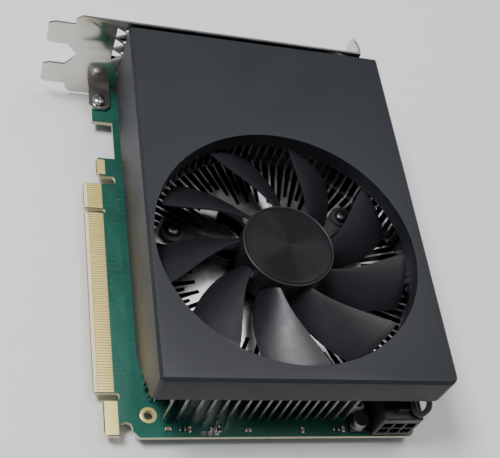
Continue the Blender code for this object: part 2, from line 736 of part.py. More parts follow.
def make_fin_bank(number, low, high):
    """A bank of the tall fins that stand round the fan's recess, on a thin foot of its own."""
    bottom = RECESS_Z + GAP
    bank = outline(f"fin_bank_{number}", [fin_outline()], bottom, SINK_TOP)
    inset = 0.2
    low_corner = (SINK_X[0] + inset, SINK_Y[0] + inset, bottom + inset)
    high_corner = (SINK_X[1] - inset, SINK_Y[1] - inset, bottom + BANK_FOOT)
    foot = box("foot", low_corner, high_corner, CUTTERS)
    join(bank, foot)
    cut(bank, rod("recess", FAN, RECESS_R, bottom - 5, SINK_TOP + 5, 60, home=CUTTERS), *sink_clearances(0))
    for x in SHROUD_SCREWS_X:
        post = box("post", (x - POST_HALF, SINK_Y[1] - 8.0, SHROUD_SCREW_Z - POST_HALF),
                   (x + POST_HALF, SINK_Y[1] - 0.1, SHROUD_SCREW_Z + POST_HALF), CUTTERS)
        join(bank, post)
        cut(bank, rod("thread", (x, SHROUD_SCREW_Z), 1.4, SINK_Y[1] - 6.5, SINK_Y[1] + 5, 12, "Y", CUTTERS))
    combine(bank, box("part", (*low, 0), (*high, 50), CUTTERS), "INTERSECT")
    finish(bank, aluminium())


def make_fin_banks():
    left, right = FAN[0] - BANK_GAP, FAN[0] + BANK_GAP
    make_fin_bank(1, (0, 0), (left, 130))
    make_fin_bank(2, (right, 0), (160, BANK_SPLIT))
    make_fin_bank(3, (right, BANK_SPLIT + 1), (160, SINK_NOTCH[1]))
    make_fin_bank(4, (right, SINK_NOTCH[1] + 1), (160, 130))


def make_heatsink_screws():
    for k, (x, y) in enumerate(((-1, -1), (1, -1), (-1, 1), (1, 1)), 1):
        centre = (FAN[0] + x * SINK_HOLES, FAN[1] + y * SINK_HOLES)
        head = rod(f"heatsink_screw_{k}", centre, 2.9, SCREW_HEAD_LOW, SCREW_HEAD_LOW + 1.2, 20)
        shank = rod("shank", centre, 1.15, SCREW_HEAD_LOW + 0.4, 8.5, 12, home=CUTTERS)
        cross = box("cross", (centre[0] - 1.6, centre[1] - 0.3, SCREW_HEAD_LOW - 1),
                    (centre[0] + 1.6, centre[1] + 0.3, SCREW_HEAD_LOW + 0.7), CUTTERS)
        finish(cut(join(head, shank), cross), dark_metal(), smooth=True)
        make_spring(f"heatsink_spring_{k}", centre)


def make_spring(name, centre):
    """A coil between the screw's head and the solder side of the board."""
    turns, per_turn, wire, radius = 2.5, 10, 0.25, 2.1
    low, high = SCREW_HEAD_LOW + 1.2 + GAP + wire, -PCB_THICKNESS - GAP - wire
    count = int(turns * per_turn)
    points = []
    for k in range(count + 1):
        angle = 2 * math.pi * k / per_turn
        height = low + (high - low) * k / count
        points.append((centre[0] + radius * math.cos(angle), centre[1] + radius * math.sin(angle), height))
    finish(tube(name, points, wire, 0), plated_steel())


# ---------------------------------------------------------------- fan


def radial_bar(angle, start, end, width, low, high):
    """A flat bar that points away from the fan axis."""
    bar = box("bar", (start, -width / 2, low), (end, width / 2, high), CUTTERS)
    bar.data.transform(Matrix.Rotation(math.radians(angle), 4, "Z"))
    bar.data.transform(Matrix.Translation(Vector((*FAN, 0.0)) * MM))
    return bar


def make_frame():
    """The fan's fixed base: a disc with three arms that end in screw lugs, and a lead outlet."""
    low, high = FRAME_Z
    frame = rod("fan_frame", FAN, 16.6, low, high, 32)
    for angle in LUG_ANGLES:
        lug = rod("lug", polar(angle, LUG_R), 4.3, low, high + 0.4, 18, home=CUTTERS)
        join(frame, radial_bar(angle, 10.0, LUG_R, 6.4, low, high - 0.1), lug)
        cut(frame, rod("lug_hole", polar(angle, LUG_R), 1.7, low - 2, high + 2, 12, home=CUTTERS))
    outlet = rod("outlet", polar(OUTLET_ANGLE, OUTLET_R), 4.6, low, high + 0.4, 18, home=CUTTERS)
    join(frame, radial_bar(OUTLET_ANGLE, 10.0, OUTLET_R, 6.0, low, high - 0.1), outlet)
    join(frame, rod("wall", FAN, 13.4, low + 0.4, high + 0.6, 24, home=CUTTERS))
    cut(frame, rod("well", FAN, 12.6, high - 0.5, high + 3, 24, home=CUTTERS))
    cut(frame, rod("bore", FAN, 3.9, low - 2, high + 3, 16, home=CUTTERS))
    finish(frame, black_fan())


def make_fan_screws():
    for k, angle in enumerate(LUG_ANGLES, 1):
        centre = polar(angle, LUG_R)
        top = FRAME_Z[1] + 0.4 + GAP
        screw = rod(f"fan_screw_{k}", centre, 2.5, top, top + 1.1, 20, tip=2.1)
        shank = rod("shank", centre, 1.2, 12.5, top + 0.4, 12, home=CUTTERS)
        cross = box("cross", (centre[0] - 1.4, centre[1] - 0.3, top + 0.6),
                    (centre[0] + 1.4, centre[1] + 0.3, top + 3), CUTTERS)
        finish(cut(join(screw, shank), cross), plated_steel(), smooth=True)


def make_motor():
    """The fixed half of the motor: bearing, wound stator and the round driver board."""
    sleeve = [(3.55, 29.0), (3.55, 18.3), (1.6, 18.3), (1.6, 29.0)]
    bronze = material("sintered_bronze", (0.45, 0.3, 0.15), 0.45, 1.0)
    finish(turned("bearing_sleeve", sleeve, FAN, 24), bronze, smooth=True)
    ring = [(11.9, 19.3), (11.9, 18.7 - 0.3), (3.9, 18.7 - 0.3), (3.9, 19.3)]
    finish(turned("fan_driver_board", ring, FAN, 24), green_board())
    stator = outline("fan_stator", [stator_outline(), circle(FAN, 3.9, 24)], 20.2, 27.6)
    finish(stator, material("stator_winding", (0.4, 0.16, 0.06), 0.4, 0.6))


def stator_outline():
    """Four poles with wide shoes, seen along the axis."""
    points = []
    for pole in range(4):
        middle = 90 * pole
        for angle, radius in ((-38, 9.6), (-34, 10.4), (0, 10.6), (34, 10.4), (38, 9.6), (24, 8.2)):
            points.append(polar(middle + angle, radius))
        points.append(polar(middle + 45, 5.4))
        points.append(polar(middle + 66, 8.2))
    return points


def blade_edges(t):
    """Angles of a blade's lower and upper edge, t from 0 at the hub to 1 at the tip."""
    return -23.5 - 26.0 + 26.5 * t, -28.0 + 48.0 * t - 20.0 * t * t


def blade_point(t, u):
    """A point of the blade's middle surface: u runs from its lower to its upper edge."""
    radius = (HUB_R - 0.9) + (TIP_R - HUB_R + 0.9) * t
    lower, upper = blade_edges(t)
    angle = lower + (upper - lower) * u
    low, high = 21.9 + 0.3 * t, 30.4 + 0.4 * t
    height = low + (high - low) * (u + 0.10 * math.sin(math.pi * u))
    return radius, angle, height


def make_impeller():
    hub = [(0, HUB_TOP), (HUB_R - 0.7, HUB_TOP), (HUB_R, HUB_TOP - 0.7), (HUB_R, HUB_LOW), (14.4, HUB_LOW)]
    hub += [(14.4, 31.2), (3.6, 31.2), (3.6, 29.6), (1.8, 29.6), (1.8, 31.6), (0, 31.6)]
    impeller = turned("fan_impeller", hub, FAN, 36)
    blades = mesh_object("blades", bmesh.new(), CUTTERS)
    shape = bmesh.new()
    for k in range(BLADES):
        grid = bmesh.ops.create_grid(shape, x_segments=5, y_segments=3, size=0.5)
        for vert in grid["verts"]:
            radius, angle, height = blade_point(vert.co.x + 0.5, vert.co.y + 0.5)
            x, y = polar(angle + BLADE_PHASE + k * 360 / BLADES, radius, (0.0, 0.0))
            vert.co = Vector((x, y, height)) * MM
    shape.to_mesh(blades.data)
    shape.free()
    blades.location = impeller.location
    thick = blades.modifiers.new("thickness", "SOLIDIFY")
    thick.thickness = BLADE_THICK * MM
    thick.offset = 0.0
    join(impeller, blades)
    finish(impeller, black_fan(), smooth=True)


def make_rotor():
    """What turns with the impeller: steel ring, magnet, shaft and the clip that holds it in."""
    yoke = [(14.1, 30.8), (14.1, 20.3), (13.3, 20.3), (13.3, 30.0), (4.2, 30.0), (4.2, 30.8)]
    finish(turned("rotor_yoke", yoke, FAN, 24), dark_metal(), smooth=True)
    magnet = [(13.0, 29.4), (13.0, 20.5), (11.3, 20.5), (11.3, 29.4)]
    ferrite = material("magnet", (0.05, 0.05, 0.055), 0.5)
    finish(turned("rotor_magnet", magnet, FAN, 24), ferrite, smooth=True)
    shaft = [(0, 31.2), (1.5, 31.2), (1.5, 18.2), (0.9, 18.2)]
    shaft += [(0.9, 17.3), (1.5, 17.3), (1.5, 16.9), (0, 16.9)]
    finish(turned("fan_shaft", shaft, FAN, 24), plated_steel(), smooth=True)


def make_shaft_clip():
    """A split ring in the shaft's groove, below the bearing, that turns with the shaft."""
    clip = turned("shaft_clip", [(2.9, 17.95), (2.9, 17.65), (1.2, 17.65), (1.2, 17.95)], FAN, 16)
    finish(clip, plated_steel())


def make_lead():
    """The fan's lead, from the frame round a slack loop at the front corner to its plug."""
    lead = tube("fan_lead", smooth_route(LEAD_ROUTE), LEAD_R, 2)
    finish(lead, material("lead_sleeve", (0.012, 0.012, 0.012), 0.5))


def make_fan_plug():
    x, y = HEADER
    header = box("fan_header", (x - 4.3, y - 2.3, GAP), (x + 4.3, y + 2.3, 5.6))
    cut(header, box("pocket", (x - 3.7, y - 1.7, 1.2), (x + 3.7, y + 1.7, 7.0), CUTTERS))
    finish(header, material("natural_nylon", (0.75, 0.72, 0.62), 0.45))
    plug = box("fan_plug", (x - 3.4, y - 1.4, 1.6), (x + 3.4, y + 1.4, 10.4))
    rounded(plug, 0.25, 1)
    finish(plug, black_plastic())


# ---------------------------------------------------------------- power socket and screws


def make_power_socket():
    (x0, x1), (y0, y1), top = SOCKET_X, SOCKET_Y, SOCKET_TOP
    socket = box("power_socket", (x0, y0, GAP), (x1, y1, top))
    rounded(socket, 0.4, 1)
    middle = (y0 + y1) / 2
    latch = box("latch", (x1 - 6.5, middle - 2.0, top - 1.0), (x1 - 3.0, middle + 2.0, top + 1.6), CUTTERS)
    join(socket, latch)
    for column in (-1, 0, 1):
        for row in (0, 1):
            y = middle + column * PIN_PITCH
            z = PIN_LOW + row * PIN_PITCH
            low, high = (x1 - PIN_DEPTH, y - PIN_HALF, z - PIN_HALF), (x1 + 2, y + PIN_HALF, z + PIN_HALF)
            cut(socket, box("cavity", low, high, CUTTERS))
    finish(socket, black_plastic())


def make_bracket_screws():
    for k, centre in enumerate(BRACKET_HOLES, 1):
        low = GAP + SHEET + GAP
        screw = rod(f"bracket_screw_{k}", centre, 2.7, low, low + 1.3, 20, tip=2.2)
        shank = rod("shank", centre, 1.2, -1.5, low + 0.4, 12, home=CUTTERS)
        cross = box("cross", (centre[0] - 1.4, centre[1] - 0.3, low + 0.7),
                    (centre[0] + 1.4, centre[1] + 0.3, low + 3), CUTTERS)
        finish(cut(join(screw, shank), cross), plated_steel(), smooth=True)


def main():
    make_board()
    make_chips()
    for k, centre in enumerate(CANS, 1):
        make_capacitor(f"capacitor_{k}", centre)
    make_bracket()
    make_ports()
    make_bracket_screws()
    make_shroud()
    make_shroud_screws()
    make_heatsink()
    make_fin_banks()
    make_heatsink_screws()
    make_frame()
    make_fan_screws()
    make_motor()
    make_impeller()
    make_rotor()
    make_shaft_clip()
    make_lead()
    make_fan_plug()
    make_power_socket()


main()
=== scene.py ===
"""Looks of the graphics card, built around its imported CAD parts.

Lengths below are in the card's own millimetres, as in its CAD: X runs from the slot bracket to
the front end of the board, Y from the edge connector to the top edge, and Z is 0 on the
component side of the board. place() turns them into the frame's metres.
"""

import json
import math
import random

import bmesh
import bpy
from mathutils import Matrix, Vector

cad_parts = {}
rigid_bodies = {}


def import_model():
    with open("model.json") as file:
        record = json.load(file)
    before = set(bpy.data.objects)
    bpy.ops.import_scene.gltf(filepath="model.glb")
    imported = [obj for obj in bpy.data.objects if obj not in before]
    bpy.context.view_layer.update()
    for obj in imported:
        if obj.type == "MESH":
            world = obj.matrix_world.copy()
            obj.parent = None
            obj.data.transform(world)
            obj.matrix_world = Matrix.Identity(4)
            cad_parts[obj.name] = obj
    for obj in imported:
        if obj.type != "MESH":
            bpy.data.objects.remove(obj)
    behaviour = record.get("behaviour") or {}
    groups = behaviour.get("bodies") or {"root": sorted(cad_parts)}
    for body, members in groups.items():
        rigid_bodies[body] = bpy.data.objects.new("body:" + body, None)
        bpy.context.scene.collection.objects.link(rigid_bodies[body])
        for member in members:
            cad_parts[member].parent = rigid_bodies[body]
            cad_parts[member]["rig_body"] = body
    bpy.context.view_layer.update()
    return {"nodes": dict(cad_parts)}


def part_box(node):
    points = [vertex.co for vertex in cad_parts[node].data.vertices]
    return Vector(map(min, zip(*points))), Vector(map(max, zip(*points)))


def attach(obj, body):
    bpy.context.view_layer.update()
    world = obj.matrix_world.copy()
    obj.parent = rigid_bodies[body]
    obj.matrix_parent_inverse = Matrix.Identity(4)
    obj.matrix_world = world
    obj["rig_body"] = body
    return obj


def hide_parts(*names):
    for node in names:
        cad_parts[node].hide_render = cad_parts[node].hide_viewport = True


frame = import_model()
NODES = frame["nodes"]
MM = 0.001
BOARD_BACK = -1.57
BOARD_CORNER = Vector((1.2, 0.0, BOARD_BACK))  # the board's lowest corner in the card's millimetres
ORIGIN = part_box("circuit_board")[0] - BOARD_CORNER * MM

FAN = (92.7, 61.8)
HUB_R, TIP_R = 16.15, 44.2
HUB_FACE, HUB_FLOOR, HUB_LOW = 32.62, 31.2, 19.8  # its top, the underside of that, and its lower rim
BLADES, BLADE_PHASE = 9, 11.0
LUG_R, LUG_ANGLES, LUG_SEAT = 37.6, (129.8, 9.8, -110.2), 19.0

CONTACTS = ((48.05, 11), (61.1, 71))  # where each field of contacts starts, and how many it has, 1 mm apart
CONTACT_Y, CONTACT_HALF = (1.6, 6.7), 0.37
PADS = (((134.7, 3.3), (146.4, 7.6)), ((36.2, 5.5), (43.0, 8.5)))  # past the two ends of the contacts
BARE_X = ((47.75, 58.45), (60.9, 131.55))  # the stretches of the edge without solder mask
COPPER_SUNK, COPPER_PROUD = 0.005, 0.03  # how far traces and vias reach into and out of the board's faces
TOOLING_HOLE = (139.6, 17.4)
TAB_HOLES = ((8.3, 7.8), (8.3, 98.0))
SHANK_R = 1.15  # of every screw
SINK_HOLES = 21.6  # the four holes lie this far either side of the fan's middle

SLIM_PORT_Y, ANGLED_PORT_Y, WIDE_PORT_Y = 41.9, 24.0, 72.0
SIDE_SCREWS_X, SIDE_WALL_Y = (48.0, 124.0), 111.9
CANS = ((143.0, 89.6), (33.5, 55.4), (33.5, 63.4))
CHOKES = ((33.5, 33.5), (33.5, 44.7), (33.5, 75.7))
SOCKET_MIDDLE, SOCKET_FRONT, PIN_PITCH, PIN_LOW = 101.3, 147.3, 4.2, 4.4
HEADER = (135.0, 88.9)
LEAD_ROUTE = (
    (106.9, 73.7, 18.2), (112.5, 78.4, 18.1), (119.0, 83.9, 18.1), (126.0, 89.9, 18.1),
    (131.2, 95.2, 18.5), (136.0, 101.0, 19.2), (139.4, 105.4, 19.4), (141.4, 107.6, 19.2),
    (143.1, 109.0, 18.4), (144.6, 109.1, 16.8), (145.7, 107.9, 15.4), (146.0, 106.3, 14.9),
    (144.4, 105.0, 14.9), (141.2, 104.7, 15.1), (138.2, 102.8, 15.5), (136.5, 98.6, 16.0),
    (135.5, 94.4, 16.1), (135.1, 91.3, 15.3), (135.0, 89.6, 13.9), (135.0, 88.9, 12.3),
)


def place(x, y, z):
    return ORIGIN + Vector((x, y, z)) * MM


def polar(angle, radius):
    """A point in plan, by its angle and distance from the fan's middle."""
    turn = math.radians(angle)
    return FAN[0] + radius * math.cos(turn), FAN[1] + radius * math.sin(turn)


def around(axis, centre, a, b, height):
    """The point that lies a and b off an axis through centre, and at height along it."""
    a, b = centre[0] + a, centre[1] + b
    return place(*{"X": (height, a, b), "Y": (a, height, b), "Z": (a, b, height)}[axis])


# ------------------------------------------------------------------ materials


class Graph:
    """A material's node tree, built with short calls that give back output sockets."""

    def __init__(self, name, **constants):
        self.material = bpy.data.materials.new(name)
        self.material.use_nodes = True
        self.tree = self.material.node_tree
        self.shader = self.tree.nodes["Principled BSDF"]
        for key, value in constants.items():
            self.shader.inputs[key.replace("_", " ")].default_value = value
        coordinates = self.tree.nodes.new("ShaderNodeTexCoord").outputs["Object"]
        self.mm = self.node("ShaderNodeMapping", {"Vector": coordinates, "Scale": (1000, 1000, 1000)})

    def node(self, kind, inputs, output=0, **settings):
        made = self.tree.nodes.new(kind)
        for key, value in settings.items():
            setattr(made, key, value)
        for key, value in inputs.items():
            socket = made.inputs[key]
            if isinstance(value, bpy.types.NodeSocket):
                self.tree.links.new(value, socket)
            else:
                socket.default_value = value
        return made.outputs[output]

    def stretched(self, scale, turn=(0, 0, 0)):
        return self.node("ShaderNodeMapping", {"Vector": self.mm, "Scale": scale, "Rotation": turn})

    def noise(self, scale, detail=2.0, rough=0.5, vector=None):
        values = {"Vector": vector or self.mm, "Scale": scale, "Detail": detail, "Roughness": rough}
        return self.node("ShaderNodeTexNoise", values)

    def level(self, value, low, high, start=0.0, end=1.0):
        values = {"Value": value, "From Min": low, "From Max": high, "To Min": start, "To Max": end}
        return self.node("ShaderNodeMapRange", values)

    def calc(self, operation, a, b=0.0):
        return self.node("ShaderNodeMath", {0: a, 1: b}, operation=operation)

    def mix(self, value, a, b):
        made = self.tree.nodes.new("ShaderNodeMix")
        made.data_type = "RGBA"
        for socket, given in ((made.inputs[0], value), (made.inputs[6], a), (made.inputs[7], b)):
            if isinstance(given, bpy.types.NodeSocket):
                self.tree.links.new(given, socket)
            else:
                socket.default_value = given if isinstance(given, float) else (*given, 1.0)
        return made.outputs[2]

    def bump(self, height, depth, normal=None):
        values = {"Height": height, "Distance": depth * MM, "Strength": 1.0}
        if normal:
            values["Normal"] = normal
        return self.node("ShaderNodeBump", values)

    def upward(self):
        """1 where the surface looks up, 0 on upright faces and -1 where it looks down."""
        true = self.node("ShaderNodeNewGeometry", {}, "True Normal")
        return self.node("ShaderNodeSeparateXYZ", {0: true}, "Z")

    def threads(self, turn):
        """Fine parallel threads, laid at an angle."""
        values = {"Vector": self.stretched((1, 1, 1), turn), "Scale": 1.6, "Distortion": 0.6}
        return self.node("ShaderNodeTexWave", values)

    def edges(self, radius):
        """1 on rounded-over edges, 0 on open faces: how far a rounded normal turns from the true one."""
        soft = self.node("ShaderNodeBevel", {"Radius": radius * MM}, samples=4)
        true = self.node("ShaderNodeNewGeometry", {}, "Normal")
        turned = self.node("ShaderNodeVectorMath", {0: soft, 1: true}, "Value", operation="DOT_PRODUCT")
        return self.level(turned, 0.98, 0.80)

    def done(self, color=None, roughness=None, normal=None):
        for socket, value in (("Base Color", color), ("Roughness", roughness), ("Normal", normal)):
            if value is not None:
                self.tree.links.new(value, self.shader.inputs[socket])
        return self.material


def cover_look():
    """Matte charcoal moulding: fine spark-eroded grain, dust, faint scuffs, edges rubbed smooth."""
    g = Graph("cover_moulding", Specular_IOR_Level=0.32)
    cloudy = g.noise(0.05, 4.0, 0.6)
    dust = g.level(g.noise(2.6, 6.0, 0.75), 0.64, 0.8)
    scuff_way = g.stretched((0.02, 0.9, 0.3), (0, 0, 0.5))
    scuffs = g.level(g.noise(1.6, 5.0, 0.6, scuff_way), 0.66, 0.74)
    fine_way = g.stretched((1.1, 0.03, 0.3), (0, 0, 0.25))
    fine = g.level(g.noise(1.2, 4.0, 0.6, fine_way), 0.69, 0.75)
    marks = g.calc("MULTIPLY", g.calc("MAXIMUM", scuffs, fine), g.level(cloudy, 0.45, 0.62))
    worn = g.edges(0.5)
    color = g.mix(cloudy, (0.0115, 0.0130, 0.0160), (0.0165, 0.0185, 0.0225))
    color = g.mix(g.calc("MULTIPLY", dust, 0.30), color, (0.06, 0.063, 0.068))
    color = g.mix(g.calc("MULTIPLY", marks, 0.40), color, (0.055, 0.058, 0.065))
    color = g.mix(g.calc("MULTIPLY", worn, 0.30), color, (0.035, 0.038, 0.044))
    rough = g.calc("SUBTRACT", g.level(cloudy, 0.3, 0.7, 0.44, 0.54), g.calc("MULTIPLY", worn, 0.12))
    grain = g.bump(g.noise(5.0, 3.0, 0.7), 0.03)
    return g.done(color, rough, g.bump(marks, -0.02, grain))


def fan_look():
    """Satin black moulding of the fan: smooth, with a faint flow pattern and dust in the grain."""
    g = Graph("fan_moulding", Specular_IOR_Level=0.36)
    flow = g.noise(0.05, 2.0, 0.5)
    dust = g.level(g.noise(6.0, 4.0, 0.8), 0.60, 0.78)
    color = g.mix(flow, (0.007, 0.0075, 0.009), (0.011, 0.012, 0.0145))
    color = g.mix(g.calc("MULTIPLY", dust, 0.15), color, (0.04, 0.042, 0.045))
    rough = g.level(g.noise(0.3, 2.0), 0.3, 0.7, 0.36, 0.42)
    return g.done(color, rough, g.bump(g.noise(7.0, 2.0, 0.6), 0.015))


def hub_look():
    """Black face turned on a lathe: fine rings that draw the light out into a radial streak."""
    g = Graph("turned_face", Metallic=0.3, Anisotropic=0.95, Specular_IOR_Level=0.14)
    centre = place(FAN[0], FAN[1], 0) / MM
    vector = g.node("ShaderNodeVectorMath", {0: g.mm, 1: tuple(centre)}, operation="SUBTRACT")
    flat = g.node("ShaderNodeVectorMath", {0: vector, 1: (1, 1, 0)}, operation="MULTIPLY")
    radius = g.node("ShaderNodeVectorMath", {0: flat}, "Value", operation="LENGTH")
    ringed = g.node("ShaderNodeCombineXYZ", {"X": g.calc("MULTIPLY", radius, 7.0)})
    rings = g.noise(1.0, 4.0, 0.8, ringed)
    color = g.mix(rings, (0.0030, 0.0031, 0.0036), (0.0110, 0.0114, 0.0128))
    rough = g.level(rings, 0.25, 0.75, 0.22, 0.34)
    tangent = g.node("ShaderNodeTangent", {}, direction_type="RADIAL", axis="Z")
    g.tree.links.new(tangent, g.shader.inputs["Tangent"])
    return g.done(color, rough, g.bump(rings, 0.004))


def metal_look(name, light, dark, rough=(0.22, 0.36), brush=(0.05, 2.2, 2.2), cloud=0.08, grain=0.010):
    """Bare or plated metal with brushed grain, cloudy sheen and small spots."""
    g = Graph(name, Metallic=1.0)
    lines = g.noise(1.0, 5.0, 0.7, g.stretched(brush))
    cloudy = g.noise(cloud, 4.0, 0.6)
    spots = g.level(g.noise(1.3, 6.0, 0.8), 0.66, 0.78)
    color = g.mix(g.level(cloudy, 0.3, 0.7), dark, light)
    color = g.mix(g.calc("MULTIPLY", lines, 0.25), color, tuple(0.8 * c for c in dark))
    color = g.mix(g.calc("MULTIPLY", spots, 0.35), color, tuple(0.55 * c for c in dark))
    sheen = g.calc("ADD", g.calc("MULTIPLY", lines, 0.5), g.calc("MULTIPLY", cloudy, 0.5))
    return g.done(color, g.level(sheen, 0.3, 0.7, *rough), g.bump(lines, grain))


def sink_look():
    """Extruded aluminium with painted light: a painted highlight on faces that look up and on edges, painted
    shade on the fins' upright sides.
    """
    g = Graph("sink_aluminium", Metallic=1.0)
    mill = g.noise(1.0, 4.0, 0.6, g.stretched((0.3, 0.3, 2.5)))
    cloudy = g.noise(0.2, 3.0, 0.6)
    # painted light: faces that look up and rounded edges are mixed towards a pale painted highlight, upright
    # faces towards a dark painted shade
    up = g.upward()
    # the edge mask paints a highlight along the fins' rounded edges
    painted_highlight_mask = g.calc("MAXIMUM", g.level(up, 0.3, 0.7), g.calc("MULTIPLY", g.edges(0.22), 0.8))
    painted_shade_tone = g.mix(mill, (0.17, 0.17, 0.175), (0.25, 0.25, 0.255))
    painted_highlight_tone = g.mix(cloudy, (0.78, 0.78, 0.80), (0.92, 0.92, 0.93))
    rough = g.level(g.calc("ADD", mill, cloudy), 0.6, 1.4, 0.24, 0.40)
    return g.done(g.mix(painted_highlight_mask, painted_shade_tone, painted_highlight_tone), rough, g.bump(mill, 0.008))


def gold_look():
    """Thin hard gold over nickel: smooth and pale, with faint wear along the plugging direction."""
    g = Graph("gold_plate", Metallic=0.5, Specular_IOR_Level=0.6)
    tone = g.noise(0.25, 2.0, 0.5)
    wear = g.level(g.noise(1.0, 3.0, 0.6, g.stretched((3.0, 0.12, 1.0))), 0.5, 0.8)
    color = g.mix(tone, (0.94, 0.73, 0.24), (1.0, 0.82, 0.32))
    color = g.mix(g.calc("MULTIPLY", wear, 0.30), color, (0.78, 0.58, 0.18))
    return g.done(color, g.level(tone, 0.3, 0.7, 0.24, 0.32), g.bump(wear, 0.003))


def board_look():
    """Solder mask over copper and laminate, with bare glass-epoxy on the board's cut edges."""
    g = Graph("solder_mask", Specular_IOR_Level=0.4, Coat_Weight=0.10, Coat_Roughness=0.2)
    pour = g.level(g.noise(0.035, 0.0, 0.4), 0.45, 0.55)
    weave = g.calc("MULTIPLY", g.noise(1.0, 1.0, 0.5, g.stretched((2.2, 0.25, 1))),
                   g.noise(1.0, 1.0, 0.5, g.stretched((0.25, 2.2, 1))))
    mask = g.mix(pour, (0.014, 0.080, 0.056), (0.020, 0.112, 0.082))
    mask = g.mix(g.level(weave, 0.15, 0.40, 0.0, 0.35), mask, (0.003, 0.055, 0.034))
    up = g.upward()
    flat = g.level(g.calc("ABSOLUTE", up), 0.45, 0.55)
    layers = g.noise(1.0, 2.0, 0.5, g.stretched((0.3, 0.3, 9.0)))
    laminate = g.mix(layers, (0.56, 0.50, 0.30), (0.78, 0.72, 0.50))
    height = g.calc("ADD", g.calc("MULTIPLY", pour, 0.6), g.calc("MULTIPLY", weave, 0.5))
    rough = g.level(g.noise(0.4, 4.0, 0.6), 0.3, 0.7, 0.26, 0.38)
    return g.done(g.mix(flat, laminate, mask), rough, g.bump(height, 0.012))


def plain_look(name, light, dark, rough, scale=0.8, fine=5.0, depth=0.012, dust=0.2, **constants):
    """Moulded, glazed or fired surfaces: two close tones, a fine grain, some dust."""
    g = Graph(name, **constants)
    tone = g.noise(scale, 4.0, 0.6)
    grain = g.noise(fine, 3.0, 0.7)
    specks = g.level(grain, 0.62, 0.78)
    pale = tuple(0.6 * c + 0.12 for c in light)
    color = g.mix(g.calc("MULTIPLY", specks, dust), g.mix(tone, dark, light), pale)
    return g.done(color, g.level(tone, 0.3, 0.7, *rough), g.bump(grain, depth))


def sleeve_look():
    """Braided black sleeve: crossing threads with light on their crowns."""
    g = Graph("braided_sleeve", IOR=1.5, Sheen_Weight=0.2, Sheen_Roughness=0.4)
    height = g.calc("MAXIMUM", g.threads((0.4, 0.3, 0.8)), g.threads((-0.5, 0.6, -0.7)))
    color = g.mix(height, (0.006, 0.006, 0.007), (0.030, 0.030, 0.033))
    return g.done(color, g.level(height, 0.0, 1.0, 0.6, 0.4), g.bump(height, 0.08))


def copper_look():
    """Enamelled winding wire in close turns."""
    g = Graph("winding_wire", Metallic=0.85, Coat_Weight=0.4, Coat_Roughness=0.12)
    turns = {"Vector": g.mm, "Scale": 1.3, "Distortion": 0.5}
    wires = g.node("ShaderNodeTexWave", turns, bands_direction="Z")
    color = g.mix(wires, (0.16, 0.05, 0.02), (0.62, 0.26, 0.10))
    return g.done(color, g.level(wires, 0, 1, 0.5, 0.28), g.bump(wires, 0.10))


def silicon_look():
    """The polished back of the bare chip."""
    g = Graph("silicon_face", Metallic=0.75)
    tone = g.noise(0.4, 3.0, 0.5)
    color = g.mix(tone, (0.16, 0.17, 0.20), (0.24, 0.25, 0.30))
    return g.done(color, g.level(tone, 0.3, 0.7, 0.06, 0.14), g.bump(tone, 0.002))


def floor_look():
    """Pale matte paper with a slow change of tone."""
    g = Graph("pale_floor", IOR=1.4)
    tone = g.noise(0.004, 3.0, 0.5)
    return g.done(g.mix(tone, (0.70, 0.69, 0.68), (0.74, 0.73, 0.72)), g.level(tone, 0.3, 0.7, 0.55, 0.65))


def trace_look():
    """Solder mask where it lies over copper: lighter and glossier than on the bare board."""
    tones = (0.014, 0.165, 0.105), (0.010, 0.135, 0.085)
    coat = {"Coat_Weight": 0.25, "Coat_Roughness": 0.16}
    return plain_look("trace_mask", *tones, (0.26, 0.36), 0.6, 4.0, 0.004, 0.0, **coat)


COVER = cover_look()
FAN_BLACK = fan_look()
STEEL = metal_look("nickel_plate", (0.72, 0.70, 0.66), (0.58, 0.56, 0.52), (0.14, 0.26), (2.4, 0.06, 0.06))
ALUMINIUM = sink_look()
CAN = metal_look(
    "can_aluminium", (0.30, 0.30, 0.31), (0.20, 0.20, 0.21), (0.26, 0.36), (3.0, 3.0, 0.2), 0.3, 0.006)
DARK_METAL = metal_look("black_zinc", (0.10, 0.10, 0.105), (0.05, 0.05, 0.053), (0.28, 0.42), (1, 1, 1), 0.5)
GOLD = gold_look()
TIN = metal_look("solder_tin", (0.76, 0.76, 0.75), (0.60, 0.60, 0.60), (0.16, 0.34), (1, 1, 1), 0.7, 0.02)
BRONZE = metal_look("oiled_bronze", (0.50, 0.34, 0.17), (0.36, 0.23, 0.11), (0.3, 0.45), (2, 2, 2), 0.9, 0.02)
BOARD = board_look()
BLACK = plain_look(
    "connector_moulding", (0.012, 0.012, 0.013), (0.007, 0.007, 0.008), (0.36, 0.46), dust=0.08)
RESIN = plain_look("chip_resin", (0.032, 0.032, 0.034), (0.020, 0.020, 0.022), (0.45, 0.6), 0.5, 7.0, 0.015)
CARRIER = plain_look("chip_carrier", (0.02, 0.13, 0.06), (0.012, 0.085, 0.04), (0.3, 0.42), 0.6)
FERRITE = plain_look("ferrite_block", (0.16, 0.16, 0.165), (0.10, 0.10, 0.105), (0.4, 0.55), 0.7, 4.0, 0.04)
NYLON = plain_look(
    "natural_nylon", (0.74, 0.70, 0.60), (0.66, 0.61, 0.50), (0.35, 0.45), 0.5, 3.0, 0.01, 0.05)
CERAMIC = plain_look("fired_ceramic", (0.36, 0.25, 0.15), (0.26, 0.17, 0.10), (0.4, 0.5), 1.4, 8.0, 0.01, 0.1)
RESISTOR = plain_look(
    "resistor_glaze", (0.03, 0.03, 0.032), (0.015, 0.015, 0.017), (0.2, 0.3), 1.4, 8.0, 0.006)
MAGNET = plain_look("bonded_magnet", (0.055, 0.055, 0.06), (0.035, 0.035, 0.038), (0.4, 0.55), 0.6, 5.0, 0.02)
